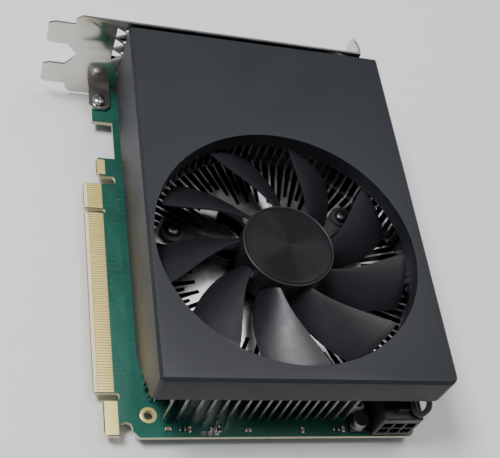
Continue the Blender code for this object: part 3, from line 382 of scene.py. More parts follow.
LAMINATE = plain_look(
    "bare_laminate", (0.84, 0.76, 0.52), (0.78, 0.69, 0.44), (0.35, 0.5), 0.4, 6.0, 0.006, 0.0)
STRIP = plain_look(
    "mask_free_strip", (0.30, 0.23, 0.075), (0.24, 0.18, 0.055), (0.4, 0.5), 0.4, 6.0, 0.006, 0.0)
SLEEVE, COPPER, SILICON, TURNED = sleeve_look(), copper_look(), silicon_look(), hub_look()


# ------------------------------------------------------------------ shapes


def piece(name, shape, look, body="card", replaces=(), angle=30):
    """A finished object from a bmesh: named, smooth-shaded up to an angle, riding on its body."""
    data = bpy.data.meshes.new(name)
    shape.to_mesh(data)
    shape.free()
    return dress(name, data, look, body, replaces, angle)


def dress(name, data, look, body, replaces, angle):
    obj = bpy.data.objects.new(name, data)
    bpy.context.scene.collection.objects.link(obj)
    data.materials.clear()
    data.materials.append(look)
    data.shade_smooth()
    data.set_sharp_from_angle(angle=math.radians(angle))
    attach(obj, body)
    if replaces:
        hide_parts(*replaces)
    return obj


def block(shape, low, high, edge, steps=1):
    """A box between two corners, with its edges rounded or chamfered."""
    low, high = Vector(low), Vector(high)
    verts = bmesh.ops.create_cube(shape, size=1.0)["verts"]
    for vert in verts:
        vert.co = place(*(low[i] + (vert.co[i] + 0.5) * (high[i] - low[i]) for i in range(3)))
    lines = {line for vert in verts for line in vert.link_edges}
    bmesh.ops.bevel(shape, geom=list(lines), offset=edge * MM, segments=steps, affect="EDGES", profile=0.5)


def lathe(shape, profile, centre, steps, axis="Z"):
    """Turns (radius, height) points about an axis through centre, and closes the profile."""
    rings = []
    for radius, height in profile:
        ring = []
        for k in range(1 if radius == 0 else steps):
            turn = 2 * math.pi * k / steps
            spot = around(axis, centre, radius * math.cos(turn), radius * math.sin(turn), height)
            ring.append(shape.verts.new(spot))
        rings.append(ring)
    pairs = list(zip(rings, rings[1:]))
    if profile[0][0] and profile[-1][0]:
        pairs.append((rings[-1], rings[0]))
    faces = []
    for one, two in pairs:
        for k in range(steps):
            corners = [one[k % len(one)], one[(k + 1) % len(one)], two[(k + 1) % len(two)], two[k % len(two)]]
            corners = list(dict.fromkeys(corners))
            if len(corners) > 2:
                faces.append(shape.faces.new(corners))
    bmesh.ops.recalc_face_normals(shape, faces=faces)


def sweep(shape, path, radius, sides=12):
    """A round tube along points, with flat ends; its radius is a number or changes along it."""
    points = [place(*p) for p in path]
    side = None
    rings = []
    for k, point in enumerate(points):
        ahead = (points[min(k + 1, len(points) - 1)] - points[max(k - 1, 0)]).normalized()
        if side is None:
            side = ahead.orthogonal().normalized()
        side = (side - ahead * side.dot(ahead)).normalized()
        across = ahead.cross(side)
        r = (radius(k / (len(points) - 1)) if callable(radius) else radius) * MM
        turns = [2 * math.pi * s / sides for s in range(sides)]
        ring = [point + r * (side * math.cos(turn) + across * math.sin(turn)) for turn in turns]
        rings.append([shape.verts.new(spot) for spot in ring])
    faces = [shape.faces.new(reversed(rings[0])), shape.faces.new(rings[-1])]
    for one, two in zip(rings, rings[1:]):
        for s in range(sides):
            faces.append(shape.faces.new((one[s], one[(s + 1) % sides], two[(s + 1) % sides], two[s])))
    bmesh.ops.recalc_face_normals(shape, faces=faces)


def prism(shape, loop, low, high):
    """A closed outline in plan made solid between two heights."""
    bottom = [shape.verts.new(place(*p, low)) for p in loop]
    top = [shape.verts.new(place(*p, high)) for p in loop]
    faces = [shape.faces.new(bottom), shape.faces.new(top)]
    for k in range(len(loop)):
        n = (k + 1) % len(loop)
        faces.append(shape.faces.new((bottom[k], bottom[n], top[n], top[k])))
    bmesh.ops.recalc_face_normals(shape, faces=faces)


def shifted(points, offset):
    """A polyline moved sideways by an offset, with mitred corners."""
    spots = [Vector(p) for p in points]
    moved = []
    for k, spot in enumerate(spots):
        before = (spot - spots[k - 1]).normalized() if k else None
        after = (spots[k + 1] - spot).normalized() if k + 1 < len(spots) else None
        along = ((before or after) + (after or before)).normalized()
        across = Vector((-along.y, along.x))
        moved.append(spot + across * offset / max(0.3, along.dot(before or after)))
    return moved


def ribbon(shape, points, width, low, high):
    """A flat strip along a polyline, such as a copper trace."""
    prism(shape, [*shifted(points, width / 2), *reversed(shifted(points, -width / 2))], low, high)


def bundle(shape, points, count, pitch, width):
    """Parallel traces on the solder side that turn their corners together."""
    for lane in range(count):
        middle = shifted(points, (lane - (count - 1) / 2) * pitch)
        ribbon(shape, middle, width, BOARD_BACK - COPPER_PROUD, BOARD_BACK + COPPER_SUNK)


def smooth_route(points, steps=6):
    """A smooth curve through points (Catmull-Rom), as closer points."""
    ends = [Vector(p) for p in (points[0], *points, points[-1])]
    route = []
    for a, b, c, d in zip(ends, ends[1:], ends[2:], ends[3:]):
        for k in range(steps):
            t = k / steps
            cubic = (3 * b - a - 3 * c + d) * t**3 + (2 * a - 5 * b + 4 * c - d) * t**2
            route.append(0.5 * (2 * b + (c - a) * t + cubic))
    return [*route, ends[-1]]


def refined(name, node, look, width, segments, angle=30):
    """The CAD node's own shape with its sharp edges rounded over, standing in for the node."""
    data = NODES[node].data.copy()
    shape = bmesh.new()
    shape.from_mesh(data)
    bmesh.ops.remove_doubles(shape, verts=shape.verts, dist=1e-6)
    bmesh.ops.dissolve_limit(shape, angle_limit=math.radians(0.6), verts=shape.verts, edges=shape.edges)
    shape.to_mesh(data)
    shape.free()
    data.shade_smooth()
    data.set_sharp_from_angle(angle=math.radians(angle))
    holder = bpy.data.objects.new(name, data)
    bpy.context.scene.collection.objects.link(holder)
    step = holder.modifiers.new("rounded", "BEVEL")
    step.width = width * MM
    step.segments = segments
    step.limit_method = "ANGLE"
    step.angle_limit = math.radians(30)
    shading = holder.modifiers.new("shading", "WEIGHTED_NORMAL")
    shading.keep_sharp = True
    graph = bpy.context.evaluated_depsgraph_get()
    made = bpy.data.meshes.new_from_object(holder.evaluated_get(graph))
    bpy.data.objects.remove(holder, do_unlink=True)
    dress(name, made, look, NODES[node]["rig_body"], (node,), angle)


# ------------------------------------------------------------------ fan


def blade_point(t, u):
    """A point of a blade's middle surface: t from hub to tip, u from its lower to its upper edge."""
    root = HUB_R - 0.9
    radius = root + (TIP_R - root) * t
    # Both edges' angles, fitted to the photo's blades, and their heights, which are estimated.
    lower, upper = -49.5 + 26.5 * t, -28.0 + 48.0 * t - 20.0 * t * t
    angle = lower + (upper - lower) * u
    low, high = 21.9 + 0.3 * t, 30.4 + 0.4 * t
    return radius, angle, low + (high - low) * (u + 0.10 * math.sin(math.pi * u))


def blade_spot(t, u, turn):
    """The same point, on the blade that is turned this far round the fan."""
    radius, angle, height = blade_point(t, u)
    return Vector((*polar(angle + turn, radius), height))


def make_blades():
    """Nine sickle blades, thick at the hub and thin at their edges."""
    shape = bmesh.new()
    rows, columns = 26, 12
    for k in range(BLADES):
        turn = BLADE_PHASE + 360 / BLADES * k
        sheets = [[], []]
        for i in range(rows + 1):
            t = i / rows
            for sheet in sheets:
                sheet.append([])
            for j in range(columns + 1):
                u = j / columns
                spot = blade_spot(t, u, turn)
                along = blade_spot(min(t + 0.01, 1.0), u, turn) - blade_spot(t - 0.01, u, turn)
                up = blade_spot(t, u + 0.01, turn) - blade_spot(t, u - 0.01, turn)
                normal = along.cross(up).normalized()
                belly = math.sin(math.pi * u) ** 0.5
                half = 0.22 + 0.40 * belly * (1.0 - 0.45 * t) + 0.5 * math.exp(-t * 16) * belly
                if i == rows:
                    half *= 0.5
                for sheet, side in zip(sheets, (1, -1)):
                    sheet[-1].append(shape.verts.new(place(*(spot + normal * half * side))))
        close_sheets(shape, *sheets)
    bmesh.ops.recalc_face_normals(shape, faces=shape.faces)
    return shape


def border(sheet):
    """The points round the edge of a grid, in order."""
    far = [row[-1] for row in sheet[1:]]
    near = [row[0] for row in sheet[-2:0:-1]]
    return [*sheet[0], *far, *sheet[-1][-2::-1], *near]


def close_sheets(shape, front, back):
    """Faces over two matching grids of points and round their shared border."""
    for sheet in (front, back):
        for one, two in zip(sheet, sheet[1:]):
            for a, b, c, d in zip(one, one[1:], two[1:], two):
                shape.faces.new((a, b, c, d))
    one, two = border(front), border(back)
    for k in range(len(one)):
        n = (k + 1) % len(one)
        shape.faces.new((one[k], one[n], two[n], two[k]))


def make_fan():
    """The rotor's moulding, and the turned face that sits in the rim of its hub."""
    shape = make_blades()
    rim = [(15.25, HUB_FACE), (15.42, 32.86), (15.6, 32.97), (15.8, 32.95), (16.0, 32.82), (16.12, 32.6)]
    skirt = [(HUB_R, 32.3), (HUB_R, 20.3), (15.95, 19.9), (15.5, HUB_LOW), (14.7, HUB_LOW), (14.4, 20.1)]
    inside = [(14.4, HUB_FLOOR), (3.6, HUB_FLOOR), (3.6, 29.6), (1.8, 29.6), (1.8, 31.6), (0, 31.6)]
    lathe(shape, [(0, HUB_FACE), *rim, *skirt, *inside], FAN, 96)
    piece("fan_rotor", shape, FAN_BLACK, "rotor", ("fan_impeller",), 40)
    plate = bmesh.new()
    face = [(0, 32.60), (15.15, 32.60), (15.15, 32.80), (15.0, 32.90), (14.8, 32.92)]
    face += [(r, 32.92 - 0.04 * math.sin(r * 0.2)) for r in (12.0, 9.0, 6.0, 3.0, 1.0)]
    lathe(plate, [*face, (0, 32.92)], FAN, 96)
    piece("hub_face", plate, TURNED, "rotor", angle=25)


def screw_shape(shape, centre, seat, radius, height, shank, axis, way):
    """A pan-head screw with rounded shoulders and a threaded shank that points away from way."""
    dome = ((0.0, 1.0), (0.45, 0.98), (0.72, 0.86), (0.92, 0.55), (1.0, 0.22), (1.0, 0.0))
    head = [(radius * across, height * up) for across, up in dome]
    head.append((SHANK_R, 0.0))
    turns = max(2, int(shank / 0.5))
    for k in range(turns):
        head.append((SHANK_R, -0.1 - k * shank / turns))
        head.append((SHANK_R - 0.22, -0.1 - (k + 0.5) * shank / turns))
    head += [(SHANK_R - 0.3, -shank), (0, -shank)]
    lathe(shape, [(r, seat + way * h) for r, h in head], centre, 28, axis)


def cross_recess(obj, centre, top, size, depth, axis, way):
    """Cuts the crossed driver recess, narrower towards its floor, into a screw's head."""
    cutter = bmesh.new()
    for turn in (0, 1):
        verts = bmesh.ops.create_cube(cutter, size=1.0)["verts"]
        for vert in verts:
            inner = vert.co.z < 0
            long, wide = size * (0.55 if inner else 1.0), size * (0.16 if inner else 0.24)
            a, b = vert.co.x * 2 * (wide if turn else long), vert.co.y * 2 * (long if turn else wide)
            vert.co = around(axis, centre, a, b, top + way * vert.co.z * 2 * depth)
    bmesh.ops.recalc_face_normals(cutter, faces=cutter.faces)
    data = bpy.data.meshes.new("recess")
    cutter.to_mesh(data)
    cutter.free()
    tool = bpy.data.objects.new("recess", data)
    bpy.context.scene.collection.objects.link(tool)
    carve(obj, tool)


def carve(obj, tool):
    """Cuts tool out of obj's mesh, and removes tool."""
    step = obj.modifiers.new("carve", "BOOLEAN")
    step.operation, step.solver, step.object, step.use_self = "DIFFERENCE", "EXACT", tool, True
    graph = bpy.context.evaluated_depsgraph_get()
    made = bpy.data.meshes.new_from_object(obj.evaluated_get(graph))
    obj.modifiers.clear()
    old, obj.data = obj.data, made
    bpy.data.meshes.remove(old)
    bpy.data.objects.remove(tool, do_unlink=True)


def make_fan_screws():
    """Screws in the lugs of the fan's frame, as dark as those of the cover."""
    for k, angle in enumerate(LUG_ANGLES, 1):
        shape = bmesh.new()
        centre = polar(angle, LUG_R)
        screw_shape(shape, centre, LUG_SEAT, 2.5, 1.15, 5.5, "Z", 1)
        node = f"fan_screw_{k}"
        obj = piece(f"fan_lug_screw_{k}", shape, DARK_METAL, replaces=(node,))
        cross_recess(obj, centre, LUG_SEAT + 1.15, 1.25, 0.7, "Z", 1)


def add_screw(name, node, slot, centre, seat, radius, height, shank, axis="Z", way=1):
    """A screw in place of its CAD node, with a recess in proportion to its head."""
    look = DARK_METAL if slot == "dark_metal" else STEEL
    shape = bmesh.new()
    screw_shape(shape, centre, seat, radius, height, shank, axis, way)
    obj = piece(name, shape, look, replaces=(node,))
    cross_recess(obj, centre, seat + way * height, radius * 0.52, height * 0.6, axis, way)


def make_screws():
    """Screws of the bracket's tabs, of the cover's side and, under the board, of the heatsink."""
    for k, centre in enumerate(TAB_HOLES, 1):
        add_screw(f"tab_screw_{k}", f"bracket_screw_{k}", "plated_steel", centre, 1.46, 2.7, 1.3, 2.9)
    for k, x in enumerate(SIDE_SCREWS_X, 1):
        head = ((x, 20.0), SIDE_WALL_Y, 2.6, 0.5)
        add_screw(f"side_screw_{k}", f"shroud_screw_{k}", "dark_metal", *head, 6.9, "Y")
    for k, (x, y) in enumerate(((-1, -1), (1, -1), (-1, 1), (1, 1)), 1):
        centre = (FAN[0] + x * SINK_HOLES, FAN[1] + y * SINK_HOLES)
        head = (centre, -4.2, 2.9, 1.2)
        add_screw(f"spring_screw_{k}", f"heatsink_screw_{k}", "dark_metal", *head, 12.6, way=-1)
        coil = bmesh.new()
        sweep(coil, coil_path(centre), 0.25, 10)
        piece(f"coil_{k}", coil, STEEL, replaces=(f"heatsink_spring_{k}",))


def coil_path(centre):
    """Two and a half turns of spring wire between a screw's head and the board."""
    radius, bottom, rise, steps = 2.1, -3.65, 1.53, 60
    path = []
    for k in range(steps + 1):
        turn = 2 * math.pi * k / 24
        x, y = centre[0] + radius * math.cos(turn), centre[1] + radius * math.sin(turn)
        path.append((x, y, bottom + rise * k / steps))
    return path


# ------------------------------------------------------------------ cover, bracket, ports


def make_covers():
    """Formed sheet and mouldings with softened edges: the cover, the bracket and the ports' shells."""
    refined("cover_shell", "fan_shroud", COVER, 0.22, 2, 20)
    refined("bracket_plate", "slot_bracket", STEEL, 0.12, 1)
    for name in ("slim_port_shell", "angled_port_shell", "wide_port_shell"):
        refined(f"{name}_formed", name, STEEL, 0.10, 1)


def make_port_details():
    """Spring contacts on the two small ports' tongues and the sockets of the wide port."""
    gold = bmesh.new()
    for middle, half, count in ((SLIM_PORT_Y, 0.6, 9), (ANGLED_PORT_Y, 0.7, 10)):
        for k in range(count):
            y = middle + (k - (count - 1) / 2) * 1.05
            for side in (-1, 1):
                face = 3.7 + side * half
                block(gold, (1.1, y - 0.24, face - 0.05), (7.5, y + 0.24, face + 0.05), 0.03)
    piece("port_contacts", gold, GOLD)
    sockets = bmesh.new()
    mouth = [(0.26, -3.75), (0.46, -3.72), (0.5, -3.6), (0.3, -3.5), (0.24, -3.6)]
    for row in (-1, 0, 1):
        for k in range(8):
            lathe(sockets, mouth, (WIDE_PORT_Y - 10.4 + k * 2.0, 5.2 + row * 2.0), 12, "X")
    piece("port_sockets", sockets, TIN)


# ------------------------------------------------------------------ socket, lead, power parts


def make_socket():
    """The power socket with its six pins, and the four pins of the fan's header."""
    refined("socket_housing", "power_socket", BLACK, 0.10, 1)
    pins = bmesh.new()
    back, front, half = SOCKET_FRONT - 8.6, SOCKET_FRONT - 1.6, 0.55
    for column in (-1, 0, 1):
        for row in (0, 1):
            y, z = SOCKET_MIDDLE + column * PIN_PITCH, PIN_LOW + row * PIN_PITCH
            block(pins, (back, y - half, z - half), (front, y + half, z + half), 0.2, 2)
    for k in range(4):
        x = HEADER[0] - 3.0 + 1.9 * k
        block(pins, (x, 87.0, 1.1), (x + 0.3, 87.2, 6.4), 0.05)
    piece("connector_pins", pins, TIN)


def make_lead():
    """The fan's sleeved lead, and the wires that leave the sleeve for the plug."""
    shape = bmesh.new()
    sweep(shape, smooth_route(LEAD_ROUTE), lambda t: 1.05 + 0.03 * math.sin(t * 70), 14)
    piece("fan_cable", shape, SLEEVE, replaces=("fan_lead",), angle=50)
    refined("plug_housing", "fan_plug", BLACK, 0.06, 1)
    refined("header_housing", "fan_header", NYLON, 0.18, 2)
    wires = bmesh.new()
    for k in range(4):
        shift = k - 1.5
        stops = ((0.4, 89.0, 12.9), (0.8, 88.95, 11.6), (1.5, 88.9, 10.9), (1.6, 88.9, 10.1))
        bend = [(HEADER[0] + spread * shift, y, z) for spread, y, z in stops]
        sweep(wires, smooth_route(bend, 5), 0.42, 10)
    piece("plug_wires", wires, BLACK, angle=50)


def make_power_parts():
    """Capacitor cans on their feet, and chokes with the metal clips at their ends."""
    feet, clips = bmesh.new(), bmesh.new()
    can = [(0, 5.12), (2.2, 5.12), (2.4, 5.2), (2.72, 5.2), (2.92, 5.06), (3.0, 4.8), (3.0, 2.2)]
    can += [(2.82, 1.98), (2.78, 1.8), (2.82, 1.62), (3.0, 1.4), (3.0, 1.05), (0, 1.05)]
    for k, (x, y) in enumerate(CANS, 1):
        shape = bmesh.new()
        lathe(shape, can, (x, y), 40)
        piece(f"can_{k}", shape, CAN, replaces=(f"capacitor_{k}",))
        block(feet, (x - 3.2, y - 3.2, 0.3), (x + 3.2, y + 3.2, 1.2), 0.3, 2)
    for k, (x, y) in enumerate(CHOKES, 1):
        refined(f"choke_block_{k}", f"choke_{k}", FERRITE, 0.2, 2)
        for side in (-1, 1):
            block(clips, (x + side * 3.4 - 0.3, y - 1.5, 0.05), (x + side * 3.4 + 0.3, y + 1.5, 2.3), 0.15, 2)
    piece("can_feet", feet, BLACK)
    piece("choke_clips", clips, TIN)


# ------------------------------------------------------------------ board details


def contact_places():
    """Where the contacts of the edge connector stand along X."""
    return [start + k for start, count in CONTACTS for k in range(count)]


def make_contacts():
    """Gold contacts on both faces of the edge connector, on a strip that has no solder mask."""
    bare, rim = bmesh.new(), bmesh.new()
    for side, top, way in (("front", 0.0, 1), ("back", BOARD_BACK, -1)):
        shape = bmesh.new()
        low, high = sorted((top - way * 0.01, top + way * 0.06))
        for x in contact_places():
            start, end = x - CONTACT_HALF, x + CONTACT_HALF
            block(shape, (start, CONTACT_Y[0], low), (end, CONTACT_Y[1], high), 0.03)
        for near, far in PADS:
            block(shape, (*near, low), (*far, high), 0.03)
        piece(f"edge_contacts_{side}", shape, GOLD)
        low, high = sorted((top - way * 0.01, top + way * 0.03))
        for start, end in BARE_X:
            block(bare, (start, 1.5, low), (end, 6.85, high), 0.012)
            block(rim, (start, 0.25, low), (end, 1.48, high), 0.012)
    piece("strip_between_contacts", bare, STRIP)
    piece("bare_rim", rim, LAMINATE)


def make_rings():
    """Plated rings round the board's screw holes, on both faces."""
    shape = bmesh.new()
    holes = [(TOOLING_HOLE, 1.66, 2.8)] + [(spot, 1.66, 3.6) for spot in TAB_HOLES]
    sides = (-SINK_HOLES, SINK_HOLES)
    holes += [((FAN[0] + x, FAN[1] + y), 1.86, 3.6) for x in sides for y in sides]
    for spot, inner, outer in holes:
        for low, high in ((0.0, 0.05), (BOARD_BACK - 0.05, BOARD_BACK)):
            lathe(shape, [(inner, low), (inner, high), (outer - 0.1, high), (outer, low)], spot, 36)
    piece("hole_rings", shape, GOLD)


def finger_lanes(shape):
    """Traces that fan out from the edge contacts, run beside each other and turn in under the cover."""
    low, high = -COPPER_SUNK, COPPER_PROUD
    places = contact_places()
    for start in (14, 36, 57):
        group = places[start:start + 22]
        lanes = group[8:][::2]
        for k, x in enumerate(lanes):
            lane = 8.2 + 0.62 * k
            leave = group[0] + 0.8 + 0.95 * k
            path = [(x, 6.5), (x, lane - 0.8), (x - 0.8, lane)]
            path += [(leave + 0.8, lane), (leave, lane + 0.8), (leave, 17.0)]
            ribbon(shape, path, 0.2, low, high)
        for x in group[:8:3]:
            ribbon(shape, [(x, 6.5), (x, 7.5), (x - 0.25, 7.75)], 0.25, low, high)
    for k, x in enumerate(places[1:11:2]):
        turn = 8.4 + k * 0.5
        ribbon(shape, [(x, 6.5), (x, turn), (x + 3.0, turn + 3.0), (x + 3.0, 17.0)], 0.2, low, high)


def back_lanes(shape):
    """Bundles of traces on the solder side."""
    bundle(shape, [(66, 40), (74, 40), (84, 50), (84, 54)], 9, 0.55, 0.2)
    bundle(shape, [(66, 60), (76, 60), (79, 63), (84, 63)], 8, 0.55, 0.2)
    bundle(shape, [(66, 80), (72, 80), (80, 72), (84, 72)], 9, 0.55, 0.2)
    bundle(shape, [(88, 100), (88, 90), (92, 86), (92, 76)], 9, 0.55, 0.2)
    bundle(shape, [(100, 7), (100, 16), (90, 26), (90, 46)], 8, 0.6, 0.22)
    bundle(shape, [(84, 7), (84, 18), (96, 30), (96, 44)], 6, 0.6, 0.22)
    bundle(shape, [(118, 7), (118, 14), (108, 24), (108, 34), (101, 41), (101, 48)], 6, 0.6, 0.22)
    bundle(shape, [(14, 26), (30, 26), (44, 40), (44, 46), (56, 58), (62, 58)], 6, 0.6, 0.22)
    bundle(shape, [(14, 44), (26, 44), (46, 64), (62, 64)], 6, 0.6, 0.22)
    bundle(shape, [(16, 72), (30, 72), (36, 68), (62, 68)], 5, 0.7, 0.25)
    bundle(shape, [(124, 60), (112, 60)], 6, 1.0, 0.5)
    bundle(shape, [(134, 102), (122, 102), (112, 92), (112, 80), (104, 72)], 4, 1.3, 0.8)


def make_traces():
    shape = bmesh.new()
    finger_lanes(shape)
    back_lanes(shape)
    piece("board_traces", shape, trace_look())


def make_vias():
    """Tinned holes strewn over the open parts of the board, no two closer than 1.3 mm."""
    shape = bmesh.new()
    draw = random.Random(11)
    taken = []
    areas = [((20, 14), (46, 24)), ((4, 20), (34, 104)), ((48, 9), (60, 13)), ((50, 20), (132, 108))]
    for (x0, y0), (x1, y1) in areas:
        for _ in range(int((x1 - x0) * (y1 - y0) * 0.055)):
            spot = Vector((draw.uniform(x0, x1), draw.uniform(y0, y1)))
            if all((spot - other).length > 1.3 for other in taken):
                taken.append(spot)
    for spot in taken:
        for face, way in ((0.0, 1), (BOARD_BACK, -1)):
            bottom, top = face - way * COPPER_SUNK, face + way * COPPER_PROUD
            lathe(shape, [(0.14, bottom), (0.14, top), (0.34, top), (0.38, bottom)], spot, 10)
    piece("board_vias", shape, TIN)


class SmallParts:
    """Collects surface-mounted parts: ceramic or glazed bodies and their metal ends."""

    def __init__(self):
        self.bodies = {"ceramic": bmesh.new(), "resistor": bmesh.new(), "resin": bmesh.new()}
        self.ends = bmesh.new()

    def chip(self, kind, x, y, length, width, height, front, upright):
        """A two-ended part lying along X, or along Y when upright, with metal caps on its ends."""
        low, high = (0.05, height) if front else (BOARD_BACK - height, BOARD_BACK - 0.05)

        def slab(shape, shift, half_length, half_width, rise, edge, steps):
            half = (half_width, half_length) if upright else (half_length, half_width)
            at = (x, y + shift) if upright else (x + shift, y)
            corners = [(at[0] + way * half[0], at[1] + way * half[1]) for way in (-1, 1)]
            block(shape, (*corners[0], low - rise), (*corners[1], high + rise), edge, steps)

        slab(self.bodies[kind], 0.0, length / 2 - 0.30, width / 2, 0.0, 0.04, 1)
        for side in (-1, 1):
            slab(self.ends, side * (length / 2 - 0.12), 0.24, width / 2 + 0.03, 0.02, 0.07, 2)

    def package(self, x, y, length, width, height, pins):
        """A small moulded circuit on the solder side, with pins along two of its sides."""
        half_x, half_y = length / 2, width / 2
        low, high = BOARD_BACK - height, BOARD_BACK - 0.15
        block(self.bodies["resin"], (x - half_x, y - half_y, low), (x + half_x, y + half_y, high), 0.12)
        low, high = BOARD_BACK - 0.16, BOARD_BACK - 0.02
        for k in range(pins):
            at = x - half_x + length * (k + 0.5) / pins
            for side in (-1, 1):
                edge = y + side * (half_y + 0.35)
                block(self.ends, (at - 0.13, edge - 0.4, low), (at + 0.13, edge + 0.4, high), 0.03)

    def finish(self):
        """Turns what was collected into one piece for each material."""
        for kind, look in (("ceramic", CERAMIC), ("resistor", RESISTOR), ("resin", RESIN)):
            piece(f"small_parts_{kind}", self.bodies[kind], look)
        piece("small_part_ends", self.ends, TIN)


def clear_of_mounts(x, y):
    """Whether a small part leaves the screws and the middle of the chip's area free."""
    off_screws = math.hypot(abs(x - FAN[0]) - SINK_HOLES, abs(y - FAN[1]) - SINK_HOLES)
    return off_screws > 6 and math.hypot(x - FAN[0], y - FAN[1]) > 15


def make_small_parts():
    """Parts on the solder side behind the chip, memory and connector, and those at the front end."""
    parts = SmallParts()
    draw = random.Random(5)
    for k in range(8):
        for j in range(6):
            if (k + j) % 3:
                parts.chip("ceramic", 84 + 2.5 * k, 54.2 + 2.7 * j, 1.6, 0.85, 0.75, False, (k + j) % 2 == 0)
    for x0, y0 in ((58, 33), (58, 51), (58, 69), (86, 96)):
        for k in range(5):
            parts.chip("ceramic", x0 + 2.6 * (k % 3) - 2.6, y0 + 2.4 * k, 1.5, 0.8, 0.7, False, k % 2 == 0)
    spots = [(22.0, 18.5), (24.6, 18.5), (27.2, 18.5), (31.0, 17.0), (33.5, 17.0)]
    spots += [(36.5, 16.5), (39.5, 16.5), (22.0, 22.0)]
    for k, (x, y) in enumerate(spots):
        parts.chip("ceramic" if k % 3 else "resistor", x, y, 1.7, 0.9, 0.6, False, k % 2 == 0)
    for k in range(16):
        parts.chip("ceramic", 62.3 + 2 * k, 9.9 + 0.9 * (k % 2), 1.1, 0.6, 0.5, False, True)
    front = [(144.9, 28.0), (144.9, 30.4), (144.9, 38.4), (144.9, 40.4), (145.2, 50.2)]
    front += [(145.2, 69.4), (145.0, 81.6), (145.0, 84.2), (144.6, 23.4)]
    for k, (x, y) in enumerate(front):
        parts.chip("ceramic" if k % 3 else "resistor", x, y, 1.9, 1.1, 0.9, True, k % 2 == 0)
    for y in (35.0, 37.2, 39.4):
        block(parts.ends, (145.3, y - 0.8, 0.02), (146.9, y + 0.8, 0.12), 0.03)
    for _ in range(90):
        x, y = draw.uniform(20, 132), draw.uniform(18, 106)
        if clear_of_mounts(x, y):
            kind = draw.choice(("ceramic", "ceramic", "resistor"))
            parts.chip(kind, round(x), round(y), 1.6, 0.85, 0.6, False, draw.random() < 0.5)
    parts.package(30.0, 90.0, 5.0, 4.0, 1.3, 4)
    parts.package(118.0, 26.0, 6.0, 4.0, 1.3, 4)
    parts.package(122.0, 86.0, 4.0, 4.0, 1.0, 5)
    parts.finish()


def solder_joint(shape, x, y, radius, height):
    """A through-hole joint on the solder side: a cone of solder with the clipped lead in it."""
    base = BOARD_BACK
    profile = [(0, base + 0.05), (radius, base + 0.05), (radius, base), (radius * 0.86, base - 0.12)]
    cone = ((0.5, 0.45), (0.34, 0.85), (0.26, 1.0), (0.0, 1.03))
    profile += [(radius * across, base - height * down) for across, down in cone]
    lathe(shape, profile, (x, y), 14)


def make_joints():
    """Joints of the power socket, the fan's header, the three ports and the ports' shells."""
    shape = bmesh.new()
    for column in (-1, 0, 1):
        for x in (136.6, 140.8):
            solder_joint(shape, x, SOCKET_MIDDLE + column * PIN_PITCH, 1.15, 1.5)
    for k in range(4):
        solder_joint(shape, 131.2 + k * 2.54, HEADER[1], 0.75, 1.2)
    for row in range(3):
        for k in range(8):
            solder_joint(shape, 8.4 + row * 1.9, 65.2 + k * 1.9, 0.6, 1.0)
    for k in range(10):
        solder_joint(shape, 9.6 + (k % 2) * 1.6, 37.4 + k, 0.5, 0.9)
        solder_joint(shape, 10.6 + (k % 2) * 1.6, 19.5 + k, 0.5, 0.9)
    for x, y in ((4.0, 33.6), (4.0, 50.2), (4.6, 15.2), (4.6, 32.0), (8.6, 58.2), (8.6, 85.8)):
        solder_joint(shape, x, y, 1.3, 1.3)
    piece("solder_joints", shape, TIN)


# ------------------------------------------------------------------ floor, light, camera


def add_floor():
    """A plain pale surface that the card lies on."""
    shape = bmesh.new()
    bmesh.ops.create_grid(shape, x_segments=2, y_segments=2, size=3.0)
    data = bpy.data.meshes.new("floor")
    shape.to_mesh(data)
    shape.free()
    floor = bpy.data.objects.new("floor", data)
    floor.data.materials.append(floor_look())
    bpy.context.scene.collection.objects.link(floor)


def add_light(name, spot, size, power, color):
    """A soft rectangular light, in metres from the frame's origin and turned towards it."""
    data = bpy.data.lights.new(name, "AREA")
    data.shape = "RECTANGLE"
    data.size, data.size_y = size
    data.energy = power
    data.color = color
    lamp = bpy.data.objects.new(name, data)
    lamp.location = spot
    lamp.rotation_euler = (-Vector(spot)).to_track_quat("-Z", "Y").to_euler()
    bpy.context.scene.collection.objects.link(lamp)


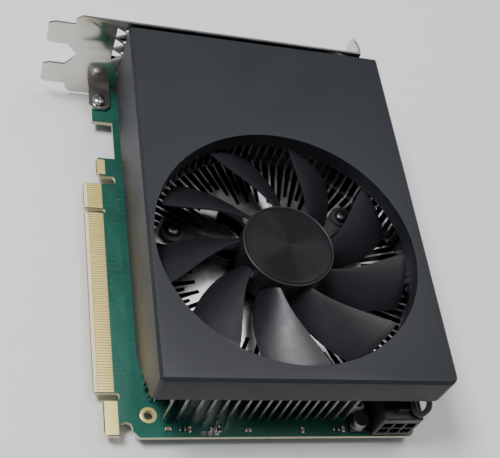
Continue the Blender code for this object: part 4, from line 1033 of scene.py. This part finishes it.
def add_lights():
    """A pale sky, a window that draws the hub's streak, a ceiling light and a faint wall."""
    world = bpy.data.worlds.new("studio")
    bpy.context.scene.world = world
    world.use_nodes = True
    sky = world.node_tree.nodes["Background"].inputs
    sky["Color"].default_value = (0.86, 0.90, 0.96, 1.0)
    sky["Strength"].default_value = 0.32
    add_light("window", (-0.16, -0.60, 1.08), (0.5, 0.35), 18.0, (0.97, 0.97, 1.0))
    add_light("ceiling", (-0.15, 0.35, 1.25), (0.7, 0.7), 7.0, (1.0, 0.98, 0.95))
    add_light("panel", (-0.58, 0.42, 0.98), (0.5, 0.5), 1.3, (0.95, 0.97, 1.0))


def add_camera():
    """The photo's view: its place and the directions to its right and ahead, from the solved camera."""
    data = bpy.data.cameras.new("camera")
    data.sensor_width = 36.0
    data.lens = 69.44
    data.shift_x, data.shift_y = -0.04, 0.15
    camera = bpy.data.objects.new("camera", data)
    right = Vector((0.13544, 0.94403, 0.30078)).normalized()
    ahead = Vector((-0.49254, 0.32756, -0.80629))
    ahead = (ahead - right * ahead.dot(right)).normalized()
    up = right.cross(ahead)
    turn = Matrix((right, up, -ahead)).transposed().to_4x4()
    camera.matrix_world = Matrix.Translation(place(266.85, -48.65, 279.86)) @ turn
    bpy.context.scene.collection.objects.link(camera)
    bpy.context.scene.camera = camera


# ------------------------------------------------------------------ all together

LOOKS = {
    "circuit_board": BOARD, "fan_driver_board": BOARD, "heatsink": ALUMINIUM, "fin_bank": ALUMINIUM,
    "fan_frame": FAN_BLACK, "fan_stator": COPPER, "bearing_sleeve": BRONZE, "rotor_yoke": DARK_METAL,
    "rotor_magnet": MAGNET, "fan_shaft": STEEL, "shaft_clip": NYLON, "gpu_die": SILICON,
    "gpu_substrate": CARRIER, "memory_chip": RESIN, "mosfet": RESIN, "port_post": STEEL,
    "slim_port_tongue": BLACK, "angled_port_tongue": BLACK, "wide_port_block": BLACK,
}


def dress_nodes():
    """Looks of the CAD nodes that stay; the nodes that no entry names are all replaced by a piece."""
    for name, obj in NODES.items():
        look = next((look for start, look in LOOKS.items() if name.startswith(start)), STEEL)
        obj.data.materials.clear()
        obj.data.materials.append(look)


def main():
    add_camera()
    add_floor()
    add_lights()
    dress_nodes()
    make_fan()
    make_fan_screws()
    make_screws()
    make_covers()
    make_port_details()
    make_socket()
    make_lead()
    make_power_parts()
    make_contacts()
    make_rings()
    make_traces()
    make_vias()
    make_small_parts()
    make_joints()


main()
